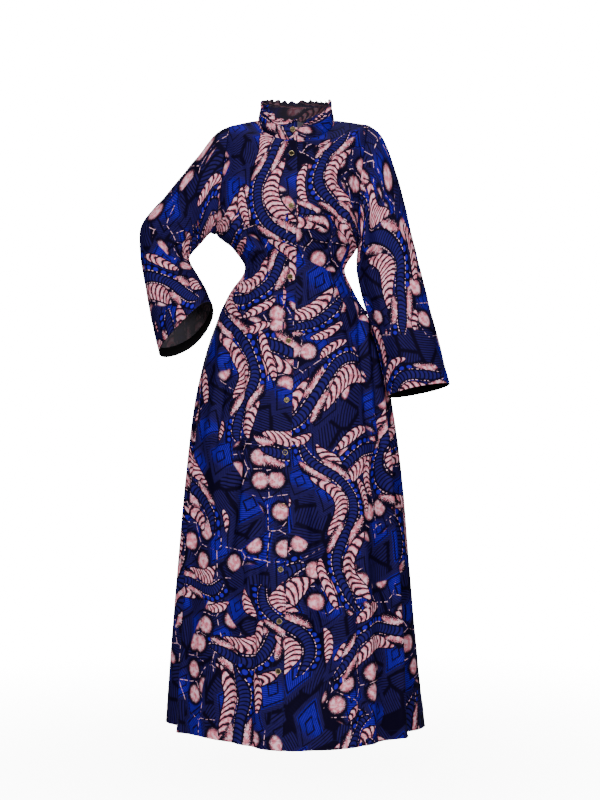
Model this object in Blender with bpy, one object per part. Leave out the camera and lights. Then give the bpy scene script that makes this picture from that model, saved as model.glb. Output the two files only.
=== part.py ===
"""Ankara shirt dress in printed cotton, in its worn form: fronts, back, bell sleeves, collar and studs.

Metres, +Z up. The dress faces -Y and its wearer's left is +X. The origin is the middle of the neck's base,
where the shoulders of the wearer hold the dress up. Run it with blender --background --python part.py.
"""

import math
from collections import namedtuple

import bmesh
import bpy
from mathutils import Matrix, Vector
from mathutils.bvhtree import BVHTree

# Cloth
CLOTH = 0.0016
RUFFLE_CLOTH = 0.0010
BAND_CLOTH = 0.0010
SEAM_GAP = 0.0003
SEAM_RETREAT = 0.0002

# Heights
HEM = -1.430
WAIST = -0.362
CHEST_CENTRE = -0.295
NECK_SIDE = -0.012
NECK_DROP = 0.060
NECK_RISE = 0.008

# Plan sizes
NECK_HALF_WIDTH = 0.0905
NECK_FRONT = 0.085
NECK_BACK = 0.070
SIDE_SEAM_Y = 0.005
SHOULDER_Y = 0.002
SHOULDER_TURN = math.radians(48)
SQUARENESS = 0.90
ROW_SPREAD = 1.35
ROW_SAG = 1.3
SHOULDER_EASE = 1.2
FOLD_GROWTH = 0.7

# Front opening
OVERLAP = 0.028
UNDERLAY = 0.0028
UNDERLAY_CLEAR = 0.004
UNDERLAY_EASE = 0.025
NECK_UNDERLAY = 0.0024
NECK_UNDERLAY_SPAN = 0.08
STUD_INSET = 0.013

# Mesh
COLUMNS = 16
SKIRT_ROWS = 16
BODICE_ROWS = 4
ARMHOLE_ROWS = 12
NECK_ROWS_FRONT = 5
NECK_ROWS_BACK = 4
SLEEVE_ROWS = 17
COLLAR_STEPS = 4
RUFFLE_STEPS = 8

# Half widths of the dress towards the wearer's right and left, and its depths before and behind the axis
Body = namedtuple("Body", "height right left front back")
BODY = (
    Body(-0.000, 0.188, 0.143, 0.075, 0.066),
    Body(-0.072, 0.188, 0.143, 0.085, 0.098),
    Body(-0.140, 0.188, 0.143, 0.110, 0.116),
    Body(-0.210, 0.188, 0.143, 0.131, 0.118),
    Body(-0.280, 0.188, 0.146, 0.123, 0.106),
    Body(-0.313, 0.150, 0.141, 0.112, 0.098),
    Body(-0.362, 0.120, 0.114, 0.099, 0.092),
    Body(-0.416, 0.154, 0.136, 0.112, 0.116),
    Body(-0.473, 0.182, 0.168, 0.130, 0.142),
    Body(-0.560, 0.212, 0.200, 0.157, 0.168),
    Body(-0.680, 0.238, 0.224, 0.190, 0.194),
    Body(-0.858, 0.258, 0.246, 0.226, 0.226),
    Body(-1.070, 0.275, 0.262, 0.266, 0.260),
    Body(-1.281, 0.290, 0.279, 0.302, 0.290),
    Body(-1.430, 0.299, 0.295, 0.326, 0.312),
)

# Line of the opening's free edge, from the neck down to the hem
Edge = namedtuple("Edge", "height across")
OPENING = (
    Edge(-0.072, 0.003),
    Edge(-0.362, 0.000),
    Edge(-0.600, -0.006),
    Edge(-0.780, -0.011),
    Edge(-1.014, -0.020),
    Edge(-1.200, -0.024),
    Edge(-1.430, -0.029),
)

# Armhole of each side: its top and bottom points, how it bows and how far it reaches forward and back
Armhole = namedtuple("Armhole", "top_x top_z bottom_x bottom_z bow front back")
ARMHOLES = {
    "right": Armhole(-0.155, -0.025, -0.188, -0.280, 1.1, 0.056, 0.062),
    "left": Armhole(0.170, -0.023, 0.143, -0.313, 2.0, 0.060, 0.064),
}

# Skirt folds: angle from the centre front where they start and at the hem, in degrees towards the wearer's
# left, the height where they start, depth at the hem (minus is a trough) and half width in degrees
Fold = namedtuple("Fold", "start_angle hem_angle start depth half_width")
FOLDS = (
    Fold(-73, -63, -0.47, 0.010, 6),
    Fold(-82, -75, -0.47, -0.020, 7),
    Fold(-90, -89, -0.50, 0.008, 6),
    Fold(-40, -29, -0.44, -0.014, 6),
    Fold(-30, -20, -0.80, -0.009, 4),
    Fold(10, 7, -0.60, -0.007, 6),
    Fold(36, 27, -0.50, 0.007, 9),
    Fold(52, 42, -0.46, -0.009, 6),
    Fold(66, 57, -0.44, 0.010, 6),
    Fold(77, 69, -0.46, -0.020, 7),
    Fold(90, 88, -0.52, 0.008, 6),
    Fold(108, 106, -0.46, -0.019, 7),
    Fold(122, 121, -0.46, 0.010, 7),
    Fold(137, 136, -0.45, -0.020, 7),
    Fold(152, 152, -0.46, 0.010, 8),
    Fold(169, 170, -0.45, -0.018, 7),
    Fold(186, 185, -0.46, 0.009, 8),
    Fold(203, 202, -0.45, -0.021, 7),
    Fold(219, 219, -0.47, 0.010, 7),
    Fold(235, 236, -0.45, -0.018, 7),
    Fold(253, 254, -0.47, -0.012, 7),
)

# Uneven hem: how far it is lifted at an angle from the centre front, and over what half width, in degrees
Lift = namedtuple("Lift", "angle rise half_width")
HEM_LIFTS = (
    Lift(-90, 0.005, 14),
    Lift(-45, 0.014, 26),
    Lift(38, 0.006, 22),
    Lift(90, -0.004, 16),
    Lift(150, 0.005, 25),
)

# Gathers that draw the waist in at the sides and across the back
GATHERS_A_QUARTER = 8
GATHER_DEPTH = 0.0024
GATHER_ABOVE = 0.060
GATHER_BELOW = 0.120
GATHER_CLEAR = math.radians(34)
GATHER_FULL = math.radians(56)

# Sleeve sections, from the shoulder down: the outer and inner edge points of each flat section, its half
# depth, how far the front of it leans along X and Z, and how far its front and back both bow that way
Section = namedtuple(
    "Section",
    "outer_x outer_y outer_z inner_x inner_y inner_z half_depth lean_x lean_z bow_x bow_z",
    defaults=(0.0, 0.0),
)
SLEEVES = {
    "right": (
        Section(-0.155, 0.002, -0.025, -0.188, 0.005, -0.280, 0.059, 0.000, 0.000),
        Section(-0.190, 0.005, -0.045, -0.196, 0.008, -0.279, 0.064, 0.000, 0.000),
        Section(-0.236, 0.012, -0.100, -0.204, 0.012, -0.278, 0.068, 0.000, 0.000),
        Section(-0.302, 0.028, -0.178, -0.224, 0.024, -0.298, 0.066, 0.000, 0.000),
        Section(-0.364, 0.046, -0.246, -0.245, 0.034, -0.326, 0.062, 0.000, 0.000),
        Section(-0.372, 0.050, -0.318, -0.249, 0.030, -0.345, 0.060, -0.004, 0.002),
        Section(-0.359, 0.040, -0.392, -0.235, 0.006, -0.370, 0.058, -0.008, 0.006, 0.001, -0.001),
        Section(-0.343, 0.012, -0.468, -0.217, -0.034, -0.400, 0.056, -0.015, 0.012, 0.004, -0.003),
        Section(-0.317, -0.030, -0.567, -0.196, -0.080, -0.446, 0.054, -0.020, 0.017, 0.0094, -0.0066),
    ),
    "left": (
        Section(0.170, 0.002, -0.023, 0.143, 0.005, -0.313, 0.062, 0.000, 0.000),
        Section(0.198, 0.001, -0.046, 0.143, 0.005, -0.320, 0.067, 0.000, 0.001),
        Section(0.222, 0.000, -0.098, 0.1425, 0.005, -0.330, 0.070, 0.000, 0.002),
        Section(0.252, -0.004, -0.196, 0.1415, 0.000, -0.348, 0.070, 0.000, 0.003),
        Section(0.275, -0.014, -0.300, 0.1425, -0.012, -0.376, 0.068, 0.000, 0.003),
        Section(0.298, -0.030, -0.396, 0.151, -0.030, -0.420, 0.066, 0.000, 0.004),
        Section(0.319, -0.048, -0.486, 0.172, -0.050, -0.494, 0.066, 0.000, 0.005),
        Section(0.337, -0.062, -0.558, 0.191, -0.066, -0.572, 0.067, 0.000, 0.007),
        Section(0.355, -0.076, -0.634, 0.210, -0.082, -0.662, 0.068, 0.000, 0.010),
    ),
}

# Sleeve folds: place round the sleeve (0 is the underarm, 0.25 its front, 0.5 its outer edge), the sections
# between which they run, depth (minus is a trough), half width round the sleeve and half length
SleeveFold = namedtuple("SleeveFold", "side around middle depth half_width half_length")
SLEEVE_FOLDS = (
    SleeveFold("right", 0.10, 3.6, -0.010, 0.045, 1.0),
    SleeveFold("right", 0.97, 4.3, -0.010, 0.050, 0.6),
    SleeveFold("right", 0.24, 5.3, -0.009, 0.040, 0.9),
    SleeveFold("right", 0.36, 6.6, 0.006, 0.050, 1.2),
    SleeveFold("right", 0.76, 5.6, -0.010, 0.045, 1.2),
    SleeveFold("left", 0.15, 2.9, -0.014, 0.040, 1.5),
    SleeveFold("left", 0.30, 4.4, -0.006, 0.040, 1.8),
    SleeveFold("left", 0.20, 6.6, 0.006, 0.050, 1.6),
    SleeveFold("left", 0.85, 3.1, -0.013, 0.045, 1.5),
    SleeveFold("left", 0.72, 5.8, -0.008, 0.045, 1.8),
)

# Sections over which a sleeve leaves the armhole's own curve
CAP_SECTIONS = 2.2

# Dark band inside each cuff
BAND_WIDTH = 0.016

# Collar
STAND_HEIGHT = 0.031
RUFFLE_HEIGHT = 0.016
COLLAR_LEAN = -0.22
COLLAR_GAP = 0.0008
COLLAR_END_FLARE = 0.006
COLLAR_END_SHARE = 0.12
LEFT_END_SPLAY = math.radians(32)
LEFT_END_SHARE = 0.22
SPLAY_GROWTH = 0.75
RIGHT_LIFT = 0.28
RIGHT_LIFT_ANGLE = math.radians(56)
RIGHT_LIFT_SPREAD = math.radians(14)
RUFFLE_WAVES_A_STEP = 2
RUFFLE_DEPTH = 0.0020
RUFFLE_DRIFT = 0.4
RUFFLE_DRIFTS = 5
RUFFLE_UNEVEN = 0.0012
RUFFLE_UNEVEN_WAVES = 3.1

# Press studs: heights down the opening, and the turned outline of one as radius and height
STUD_HEIGHTS = (-0.103, -0.227, -0.388, -0.536, -0.670, -0.787, -0.905, -1.043, -1.155, -1.262)
COLLAR_STUD_HEIGHT = 0.024
STUD_SIDES = 10
STUD_SEAT = 0.0005
Turn = namedtuple("Turn", "radius rise")
STUD_PROFILE = (
    Turn(0.0032, 0.0004),
    Turn(0.0040, 0.0013),
    Turn(0.0051, 0.0013),
    Turn(0.0058, 0.0005),
    Turn(0.0058, 0.0000),
)

Quarter = namedtuple("Quarter", "side facing lies_under")
QUARTERS = {
    "front_right": Quarter("right", "front", False),
    "front_left": Quarter("left", "front", True),
    "back_right": Quarter("right", "back", False),
    "back_left": Quarter("left", "back", False),
}


def smooth(value):
    """Ease from 0 to 1."""
    value = min(1.0, max(0.0, value))
    return value * value * (3 - 2 * value)


def through(rows, key, value):
    """Read a table at any key with a smooth curve through its rows; gives the row's other columns."""
    keys = [getattr(row, key) for row in rows]
    if keys[0] > keys[-1]:
        rows, keys = rows[::-1], keys[::-1]
    value = min(keys[-1], max(keys[0], value))
    index = max(i for i in range(len(keys) - 1) if keys[i] <= value)
    span = keys[index + 1] - keys[index]
    share = (value - keys[index]) / span
    found = {}
    for field in rows[0]._fields:
        ends = [getattr(row, field) for row in rows]
        slopes = [0.0, 0.0]
        for side in (0, 1):
            low = max(0, index + side - 1)
            high = min(len(rows) - 1, index + side + 1)
            slopes[side] = (ends[high] - ends[low]) / (keys[high] - keys[low]) * span
        found[field] = hermite(ends[index], ends[index + 1], slopes[0], slopes[1], share)
    return type(rows[0])(**found)


def hermite(start, end, start_slope, end_slope, share):
    """Cubic between two values with the slopes given at its ends."""
    square = share * share
    cube = square * share
    return (
        (2 * cube - 3 * square + 1) * start
        + (cube - 2 * square + share) * start_slope
        + (3 * square - 2 * cube) * end
        + (cube - square) * end_slope
    )


def bend(value, power):
    """Power that squares a round section a little, sign kept."""
    return math.copysign(min(1.0, abs(value)) ** power, value)


def side_sign(side):
    return -1.0 if side == "right" else 1.0


def armhole_point(side, facing, share):
    """Point of the armhole seam, from the underarm (share 0) to the shoulder seam (share 1)."""
    hole = ARMHOLES[side]
    angle = math.pi * (share - 0.5)
    rise = (1 + math.sin(angle)) / 2
    reach = -hole.front if facing == "front" else hole.back
    x = hole.bottom_x + (hole.top_x - hole.bottom_x) * rise**hole.bow
    y = SIDE_SEAM_Y + (SHOULDER_Y - SIDE_SEAM_Y) * rise + reach * math.cos(angle)
    return Vector((x, y, hole.bottom_z + (hole.top_z - hole.bottom_z) * rise))


def neck_point(angle):
    """Point of the neckline, from the centre front (0) by the shoulder (90 degrees) to the centre back."""
    forward = math.cos(angle)
    depth = NECK_FRONT if forward > 0 else NECK_BACK
    drop = -NECK_DROP * forward if forward > 0 else -NECK_RISE * forward
    y = SHOULDER_Y * (1 - abs(forward)) - depth * forward
    return Vector((NECK_HALF_WIDTH * math.sin(angle), y, NECK_SIDE + drop))


def neck_share(facing):
    """Share of the armhole rows below the neckline."""
    rows = NECK_ROWS_FRONT if facing == "front" else NECK_ROWS_BACK
    return 1 - rows / ARMHOLE_ROWS


def centre_height(facing, level):
    """Height of a row on the centre line. Levels run 0 to 1 up the skirt, 1 to 2 to the chest, 2 to 3 on."""
    if level <= 1:
        return WAIST + (HEM - WAIST) * (1 - level) ** ROW_SPREAD
    if level <= 2:
        return WAIST + (CHEST_CENTRE - WAIST) * (level - 1)
    top = neck_point(0 if facing == "front" else math.pi).z
    return CHEST_CENTRE + (top - CHEST_CENTRE) * min(1.0, (level - 2) / neck_share(facing))


def side_point(quarter, level):
    """Point of a row at the side seam, or on the armhole above it."""
    if level > 2:
        return armhole_point(quarter.side, quarter.facing, level - 2)
    hole = ARMHOLES[quarter.side]
    height = centre_height(quarter.facing, level)
    width = getattr(through(BODY, "height", height), quarter.side)
    if level > 1:
        height = WAIST + (hole.bottom_z - WAIST) * (level - 1)
        width = getattr(through(BODY, "height", height), quarter.side)
        at_hole = getattr(through(BODY, "height", hole.bottom_z), quarter.side)
        width += (abs(hole.bottom_x) - at_hole) * (level - 1)
    return Vector((side_sign(quarter.side) * width, SIDE_SEAM_Y, height))


def edge_across(quarter, height):
    """Place of a front's free edge across the body, from the opening's line."""
    across = through(OPENING, "height", height).across
    return across - OVERLAP if quarter.lies_under else across


def fold_reach(angle, height, gather_phase):
    """How far the cloth stands out at an angle (degrees) and height, from its folds and waist gathers."""
    reach = 0.0
    for fold in FOLDS:
        if height < fold.start:
            grown = (fold.start - height) / (fold.start - HEM)
            middle = fold.start_angle + (fold.hem_angle - fold.start_angle) * grown
            away = (angle - middle + 180) % 360 - 180
            reach += fold.depth * grown**FOLD_GROWTH * math.exp(-((away / fold.half_width) ** 2))
    side_share = smooth((math.radians(abs(angle)) - GATHER_CLEAR) / (GATHER_FULL - GATHER_CLEAR))
    span = GATHER_ABOVE if height > WAIST else GATHER_BELOW
    held = 1 - smooth(abs(height - WAIST) / span)
    gathers = GATHER_DEPTH * math.cos(2 * math.pi * GATHERS_A_QUARTER * gather_phase)
    return reach + gathers * side_share * held


def hem_rise(angle):
    """Rise of the hem over its level at an angle in degrees."""
    away = [((angle - lift.angle + 180) % 360 - 180) / lift.half_width for lift in HEM_LIFTS]
    return sum(lift.rise * math.exp(-far * far) for lift, far in zip(HEM_LIFTS, away))


def body_point(quarter, across, level):
    """Point of a quarter of the body: across runs from the side (0) to the centre or free edge (1)."""
    side = side_point(quarter, level)
    facing_sign = -1.0 if quarter.facing == "front" else 1.0
    height = centre_height(quarter.facing, level)
    body = through(BODY, "height", height)
    start = Vector((0.0, facing_sign * getattr(body, quarter.facing), height))
    end_turn = math.pi / 2
    edge_turn = 0.0
    power = SQUARENESS + (1 - SQUARENESS) * max(0.0, 1 - level)
    above = level - 2 - neck_share(quarter.facing)
    if level > 2:
        end_turn += (SHOULDER_TURN - math.pi / 2) * (level - 2) ** SHOULDER_EASE
    if above > 1e-9:
        share = above / (1 - neck_share(quarter.facing))
        first = neck_start(quarter)
        start = neck_point(first + (math.pi / 2 - first) * share)
        start.x *= side_sign(quarter.side)
    elif quarter.facing == "front":
        edge = edge_across(quarter, height) * side_sign(quarter.side)
        edge_turn = math.asin(bend(edge / abs(side.x) * bend(math.sin(end_turn), power), 1 / power))
    turn = end_turn + (edge_turn - end_turn) * across
    end_fall = bend(math.cos(end_turn), power)
    run = bend(math.sin(turn), power) / bend(math.sin(end_turn), power)
    fall = (bend(math.cos(turn), power) - end_fall) / (1 - end_fall)
    point = Vector((
        start.x + (side.x - start.x) * run,
        side.y + (start.y - side.y) * fall,
        start.z + (side.z - start.z) * abs(run) ** ROW_SAG,
    ))
    angle = math.degrees(turn) if quarter.facing == "front" else 180 - math.degrees(turn)
    out = Vector((point.x / side.x**2, (point.y - side.y) / max(abs(start.y), 0.05) ** 2, 0)).normalized()
    if level < 2:
        point += out * fold_reach(angle * side_sign(quarter.side), point.z, across)
        point.z += hem_rise(angle * side_sign(quarter.side)) * max(0.0, 1 - level) ** 2
    if quarter.lies_under:
        edge = edge_across(quarter, height) + OVERLAP
        covered = 1 - smooth((point.x - edge - UNDERLAY_CLEAR) / UNDERLAY_EASE)
        at_neck = smooth(1 - (NECK_SIDE - NECK_DROP - height) / NECK_UNDERLAY_SPAN)
        point -= out * (UNDERLAY + NECK_UNDERLAY * at_neck) * covered
    return point


def neck_start(quarter):
    """Angle on the neckline where a quarter's neck edge starts."""
    if quarter.facing == "back":
        return math.pi
    edge = edge_across(quarter, neck_point(0).z) * side_sign(quarter.side)
    return math.asin(edge / NECK_HALF_WIDTH)


def levels():
    """Levels of the rows, from the hem to the shoulder seam."""
    rows = [i / SKIRT_ROWS for i in range(SKIRT_ROWS)]
    rows += [1 + i / BODICE_ROWS for i in range(BODICE_ROWS)]
    rows += [2 + i / ARMHOLE_ROWS for i in range(ARMHOLE_ROWS + 1)]
    return rows


def neck_levels(facing):
    """Levels of the rows that end on the neckline, from the centre to the shoulder seam."""
    return [level for level in levels() if level >= 2 + neck_share(facing) - 1e-9]


def quads_of(grid, around=False):
    """Quads of a grid of points, as tuples of four points; around closes each row on itself."""
    quads = []
    for low, high in zip(grid, grid[1:]):
        count = len(low) if around else len(low) - 1
        for i in range(count):
            j = (i + 1) % len(low)
            quads.append((low[i], low[j], high[j], high[i]))
    return quads


def quarter_quads(name):
    """Outer quads of one quarter of the body, facing out."""
    quarter = QUARTERS[name]
    grid = [[body_point(quarter, i / COLUMNS, level) for i in range(COLUMNS + 1)] for level in levels()]
    if (quarter.side == "right") == (quarter.facing == "back"):
        grid = [row[::-1] for row in grid]
    return quads_of(grid)


def ring_of(section, around):
    """Point of a sleeve section, place round it from the underarm by the front."""
    outer = Vector((section.outer_x, section.outer_y, section.outer_z))
    inner = Vector((section.inner_x, section.inner_y, section.inner_z))
    front = Vector((section.lean_x, -section.half_depth, section.lean_z))
    bow = Vector((section.bow_x, 0.0, section.bow_z))
    angle = math.pi - 2 * math.pi * around
    flat = (outer + inner) / 2 + (outer - inner) / 2 * math.cos(angle)
    return flat + front * math.sin(angle) + bow * math.sin(angle) ** 2


def sleeve_fold_reach(side, around, along):
    reach = 0.0
    for fold in SLEEVE_FOLDS:
        if fold.side == side:
            away = ((around - fold.around + 0.5) % 1 - 0.5) / fold.half_width
            far = (along - fold.middle) / fold.half_length
            reach += fold.depth * math.exp(-away * away - far * far)
    return reach * smooth(along / CAP_SECTIONS)


def sleeve_point(side, around, along):
    """Point of a sleeve: along runs from the armhole (0) through the sections to the cuff."""
    sections = SLEEVES[side]
    index = min(int(along), len(sections) - 2)
    share = along - index
    found = {}
    for field in sections[0]._fields:
        values = [getattr(row, field) for row in sections]
        start_slope = (values[index + 1] - values[max(0, index - 1)]) / (2 if index else 1)
        last = min(len(values) - 1, index + 2)
        end_slope = (values[last] - values[index]) / (last - index)
        found[field] = hermite(values[index], values[index + 1], start_slope, end_slope, share)
    section = Section(**found)
    point = ring_of(section, around)
    middle = (ring_of(section, 0) + ring_of(section, 0.5)) / 2
    point += (point - middle).normalized() * sleeve_fold_reach(side, around, along)
    facing = "front" if around <= 0.5 else "back"
    seam_share = 2 * around if around <= 0.5 else 2 - 2 * around
    at_armhole = armhole_point(side, facing, seam_share) - ring_of(sections[0], around)
    return point + at_armhole * (1 - smooth(along / CAP_SECTIONS))


def cuff_along(side):
    """Place along the sleeve where its cuff band starts, and where the sleeve ends."""
    sections = SLEEVES[side]
    last, before = sections[-1], sections[-2]
    length = (Vector(last[:3]) + Vector(last[3:6]) - Vector(before[:3]) - Vector(before[3:6])).length / 2
    end = len(sections) - 1
    return end - BAND_WIDTH / length, end


def sleeve_grid(side):
    band, end = cuff_along(side)
    places = [band * i / SLEEVE_ROWS for i in range(SLEEVE_ROWS + 1)] + [end]
    count = 2 * ARMHOLE_ROWS
    grid = [[sleeve_point(side, i / count, along) for i in range(count)] for along in places]
    return grid if side == "right" else [row[::-1] for row in grid]


def key_of(point):
    return tuple(round(value * 1e5) for value in point)


def add_normals(quads, sums):
    """Add each quad's normal, weighted by its area, to the sum of each of its corners."""
    for quad in quads:
        normal = (quad[2] - quad[0]).cross(quad[3] - quad[1])
        for point in quad:
            key = key_of(point)
            sums[key] = sums.get(key, Vector()) + normal


def make_material(name, colour, roughness, metallic=0.0):
    material = bpy.data.materials.new(name)
    material.use_nodes = True
    shader = material.node_tree.nodes["Principled BSDF"]
    shader.inputs["Base Color"].default_value = (*colour, 1.0)
    shader.inputs["Roughness"].default_value = roughness
    shader.inputs["Metallic"].default_value = metallic
    return material


def make_object(name, mesh, material):
    mesh.materials.append(material)
    made = bpy.data.objects.new(name, mesh)
    bpy.context.scene.collection.objects.link(made)
    return made


def make_wall(name, quads, cloth, material, shared_normals=None, shared_points=()):
    """Closed wall whose outer side is the quads: it keeps inside them and clear of the seams it shares."""
    own_normals = {}
    add_normals(quads, own_normals)
    spots = {}
    middles = {}
    for quad in quads:
        middle = sum(quad, Vector()) / 4
        for point in quad:
            spots[key_of(point)] = point
            middles.setdefault(key_of(point), []).append(middle)
    mesh = bmesh.new()
    outer, inner = {}, {}
    for key, point in spots.items():
        own = own_normals[key].normalized()
        normal = (shared_normals or own_normals)[key].normalized()
        shift = Vector()
        if key in shared_points:
            inward = sum(middles[key], Vector()) / len(middles[key]) - point
            shift = inward.normalized() * SEAM_RETREAT
        outer[key] = mesh.verts.new(point + shift)
        inner[key] = mesh.verts.new(point + shift - normal * cloth / max(0.6, normal.dot(own)))
    sides = []
    for quad in quads:
        keys = [key_of(point) for point in quad]
        mesh.faces.new([outer[key] for key in keys])
        mesh.faces.new([inner[key] for key in reversed(keys)])
        sides += zip(keys, keys[1:] + keys[:1])
    paired = set(sides)
    for start, end in sides:
        if (end, start) not in paired:
            mesh.faces.new((outer[end], outer[start], inner[start], inner[end]))
    built = bpy.data.meshes.new(name)
    mesh.to_mesh(built)
    mesh.free()
    built.shade_smooth()
    built.set_sharp_from_angle(angle=math.radians(60))
    return make_object(name, built, material)


def make_cuff_band(name, side, material):
    """Dark band just inside a cuff, made from the sleeve's own points moved in."""
    grid = sleeve_grid(side)[-2:]
    normals = {}
    add_normals(quads_of(grid, around=True), normals)
    depth = CLOTH + SEAM_GAP
    moved = [[point - normals[key_of(point)].normalized() * depth for point in row] for row in grid]
    make_wall(name, quads_of(moved, around=True), BAND_CLOTH, material)


def neck_edge(name):
    """Points of a quarter's neckline with their angles, from the centre to the shoulder."""
    quarter = QUARTERS[name]
    found = []
    start = neck_start(quarter)
    rows = neck_levels(quarter.facing)
    for step, level in enumerate(rows):
        angle = start + (math.pi / 2 - start) * step / (len(rows) - 1)
        found.append((angle * side_sign(quarter.side), body_point(quarter, 1.0, level)))
    return found


def neck_ring():
    """Neckline points with their angles, from the right front by the back to the left front."""
    right = neck_edge("front_right") + neck_edge("back_right")[::-1][1:]
    left = neck_edge("back_left")[1:] + neck_edge("front_left")[::-1][1:]
    return right + [(angle - 2 * math.pi, point) for angle, point in left]


def along_ring(ring, steps):
    """Points of the neckline's polygon, with steps to each of its sides."""
    found = []
    for (angle, point), (next_angle, next_point) in zip(ring, ring[1:]):
        for i in range(steps):
            share = i / steps
            found.append((angle + (next_angle - angle) * share, point.lerp(next_point, share)))
    return found + [ring[-1]]


def collar_angle(angle, first, last, rise):
    """Angle round the neck at a rise: the collar's left end draws away as it goes up."""
    share = (first - angle) / (first - last)
    height_share = rise / (STAND_HEIGHT + RUFFLE_HEIGHT)
    left = LEFT_END_SPLAY * height_share**SPLAY_GROWTH * smooth(1 - (1 - share) / LEFT_END_SHARE)
    return angle + left


def collar_lift(angle):
    """How much higher the collar stands at the right of the front than elsewhere, as a factor."""
    return 1 + RIGHT_LIFT * math.exp(-(((angle + RIGHT_LIFT_ANGLE) / RIGHT_LIFT_SPREAD) ** 2))


def collar_point(angle, base, first, last, rise):
    """Point of the collar above a point of the neckline."""
    turned = collar_angle(angle, first, last, rise)
    out = Vector((math.sin(turned), -math.cos(turned), 0))
    share = (first - angle) / (first - last)
    end_share = smooth(1 - min(share, 1 - share) / COLLAR_END_SHARE)
    height_share = rise / (STAND_HEIGHT + RUFFLE_HEIGHT)
    lean = COLLAR_LEAN * rise + COLLAR_END_FLARE * end_share * height_share**2
    slide = neck_point(turned) - neck_point(angle)
    return base + slide + out * lean + Vector((0, 0, rise * collar_lift(angle) + COLLAR_GAP))


def collar_rows(steps, rises):
    ring = along_ring(neck_ring(), steps)
    first, last = ring[0][0], ring[-1][0]
    return [[collar_point(angle, base, first, last, rise) for angle, base in ring] for rise in rises], ring


def make_collar_wall(name, rows, cloth, material):
    """Wall of a collar piece, whose thickness lies level so that its two edges stay at their heights."""
    quads = quads_of([row[::-1] for row in rows])
    normals = {}
    add_normals(quads, normals)
    level_normals = {key: Vector((normal.x, normal.y, 0)) for key, normal in normals.items()}
    make_wall(name, quads, cloth, material, level_normals)


def make_collar(cloth_material):
    rows, _ = collar_rows(COLLAR_STEPS, (0.0, STAND_HEIGHT / 2, STAND_HEIGHT))
    make_collar_wall("collar_stand", rows, CLOTH, cloth_material)

    rises = (STAND_HEIGHT, STAND_HEIGHT + RUFFLE_HEIGHT)
    rows, ring = collar_rows(RUFFLE_STEPS, rises)
    stand_top = collar_rows(COLLAR_STEPS, (STAND_HEIGHT,))[0][0]
    split = RUFFLE_STEPS // COLLAR_STEPS
    for i in range(len(ring)):
        low = stand_top[min(i // split, len(stand_top) - 1)]
        high = stand_top[min(i // split + 1, len(stand_top) - 1)]
        rows[0][i] = low.lerp(high, (i % split) / split) + Vector((0, 0, COLLAR_GAP))
    for i, (angle, _) in enumerate(ring):
        drift = RUFFLE_DRIFT * math.sin(RUFFLE_DRIFTS * angle)
        wave = math.sin(2 * math.pi * RUFFLE_WAVES_A_STEP * i / RUFFLE_STEPS + drift)
        out = Vector((math.sin(angle), -math.cos(angle), 0))
        uneven = RUFFLE_UNEVEN * math.sin(RUFFLE_UNEVEN_WAVES * angle + 1)
        rows[1][i] += out * wave * RUFFLE_DEPTH + Vector((0, 0, uneven))
    make_collar_wall("collar_ruffle", rows, RUFFLE_CLOTH, cloth_material)


def make_stud(name, seat, out, material):
    """One ring press stud, turned about its own axis and seated on the cloth."""
    mesh = bmesh.new()
    rings = []
    for turn in STUD_PROFILE:
        ring = []
        for i in range(STUD_SIDES):
            angle = 2 * math.pi * i / STUD_SIDES
            x, y = turn.radius * math.cos(angle), turn.radius * math.sin(angle)
            ring.append(mesh.verts.new((x, y, turn.rise)))
        rings.append(ring)
    mesh.faces.new(rings[0])
    mesh.faces.new(rings[-1][::-1])
    for inner, outer in zip(rings, rings[1:]):
        for i in range(STUD_SIDES):
            j = (i + 1) % STUD_SIDES
            mesh.faces.new((inner[i], outer[i], outer[j], inner[j]))
    frame = out.to_track_quat("Z", "Y").to_matrix().to_4x4()
    mesh.transform(Matrix.Translation(seat) @ frame)
    built = bpy.data.meshes.new(name)
    mesh.to_mesh(built)
    mesh.free()
    built.shade_smooth()
    built.set_sharp_from_angle(angle=math.radians(30))
    make_object(name, built, material)


def opening_seat(height):
    """Place of a stud on the right front, at a height and its inset from the free edge."""
    quarter = QUARTERS["front_right"]
    low, high = 0.0, 2 + neck_share("front")
    for _ in range(40):
        middle = (low + high) / 2
        if centre_height("front", middle) < height:
            low = middle
        else:
            high = middle
    target = edge_across(quarter, height) - STUD_INSET
    near, far = 0.7, 1.0
    for _ in range(40):
        middle = (near + far) / 2
        if body_point(quarter, middle, low).x < target:
            near = middle
        else:
            far = middle
    return body_point(quarter, near, low)


def seat_on(quads, place):
    """Seat of a stud near a place, just clear of the faceted cloth, and the direction out of the cloth."""
    points = [point for quad in quads for point in quad]
    faces = [tuple(range(4 * i, 4 * i + 4)) for i in range(len(quads))]
    cloth = BVHTree.FromPolygons(points, faces)
    seat, out, _, _ = cloth.find_nearest(place)
    frame = out.to_track_quat("Z", "Y").to_matrix()
    highest = 0.0
    for i in range(STUD_SIDES):
        angle = 2 * math.pi * i / STUD_SIDES
        above = Vector((math.cos(angle), math.sin(angle), 1)) * STUD_PROFILE[-1].radius
        under, _, _, _ = cloth.ray_cast(seat + frame @ above, -out)
        if under:
            highest = max(highest, (under - seat).dot(out))
    return seat + out * (highest + STUD_SEAT), out


def make_studs(front_quads, material):
    rows, _ = collar_rows(COLLAR_STEPS, (0.0, COLLAR_STUD_HEIGHT, STAND_HEIGHT))
    place = (rows[1][1] + rows[1][2]) / 2
    make_stud("snap_01", *seat_on(quads_of([row[::-1] for row in rows]), place), material)
    for number, height in enumerate(STUD_HEIGHTS, start=2):
        make_stud(f"snap_{number:02d}", *seat_on(front_quads, opening_seat(height)), material)


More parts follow.
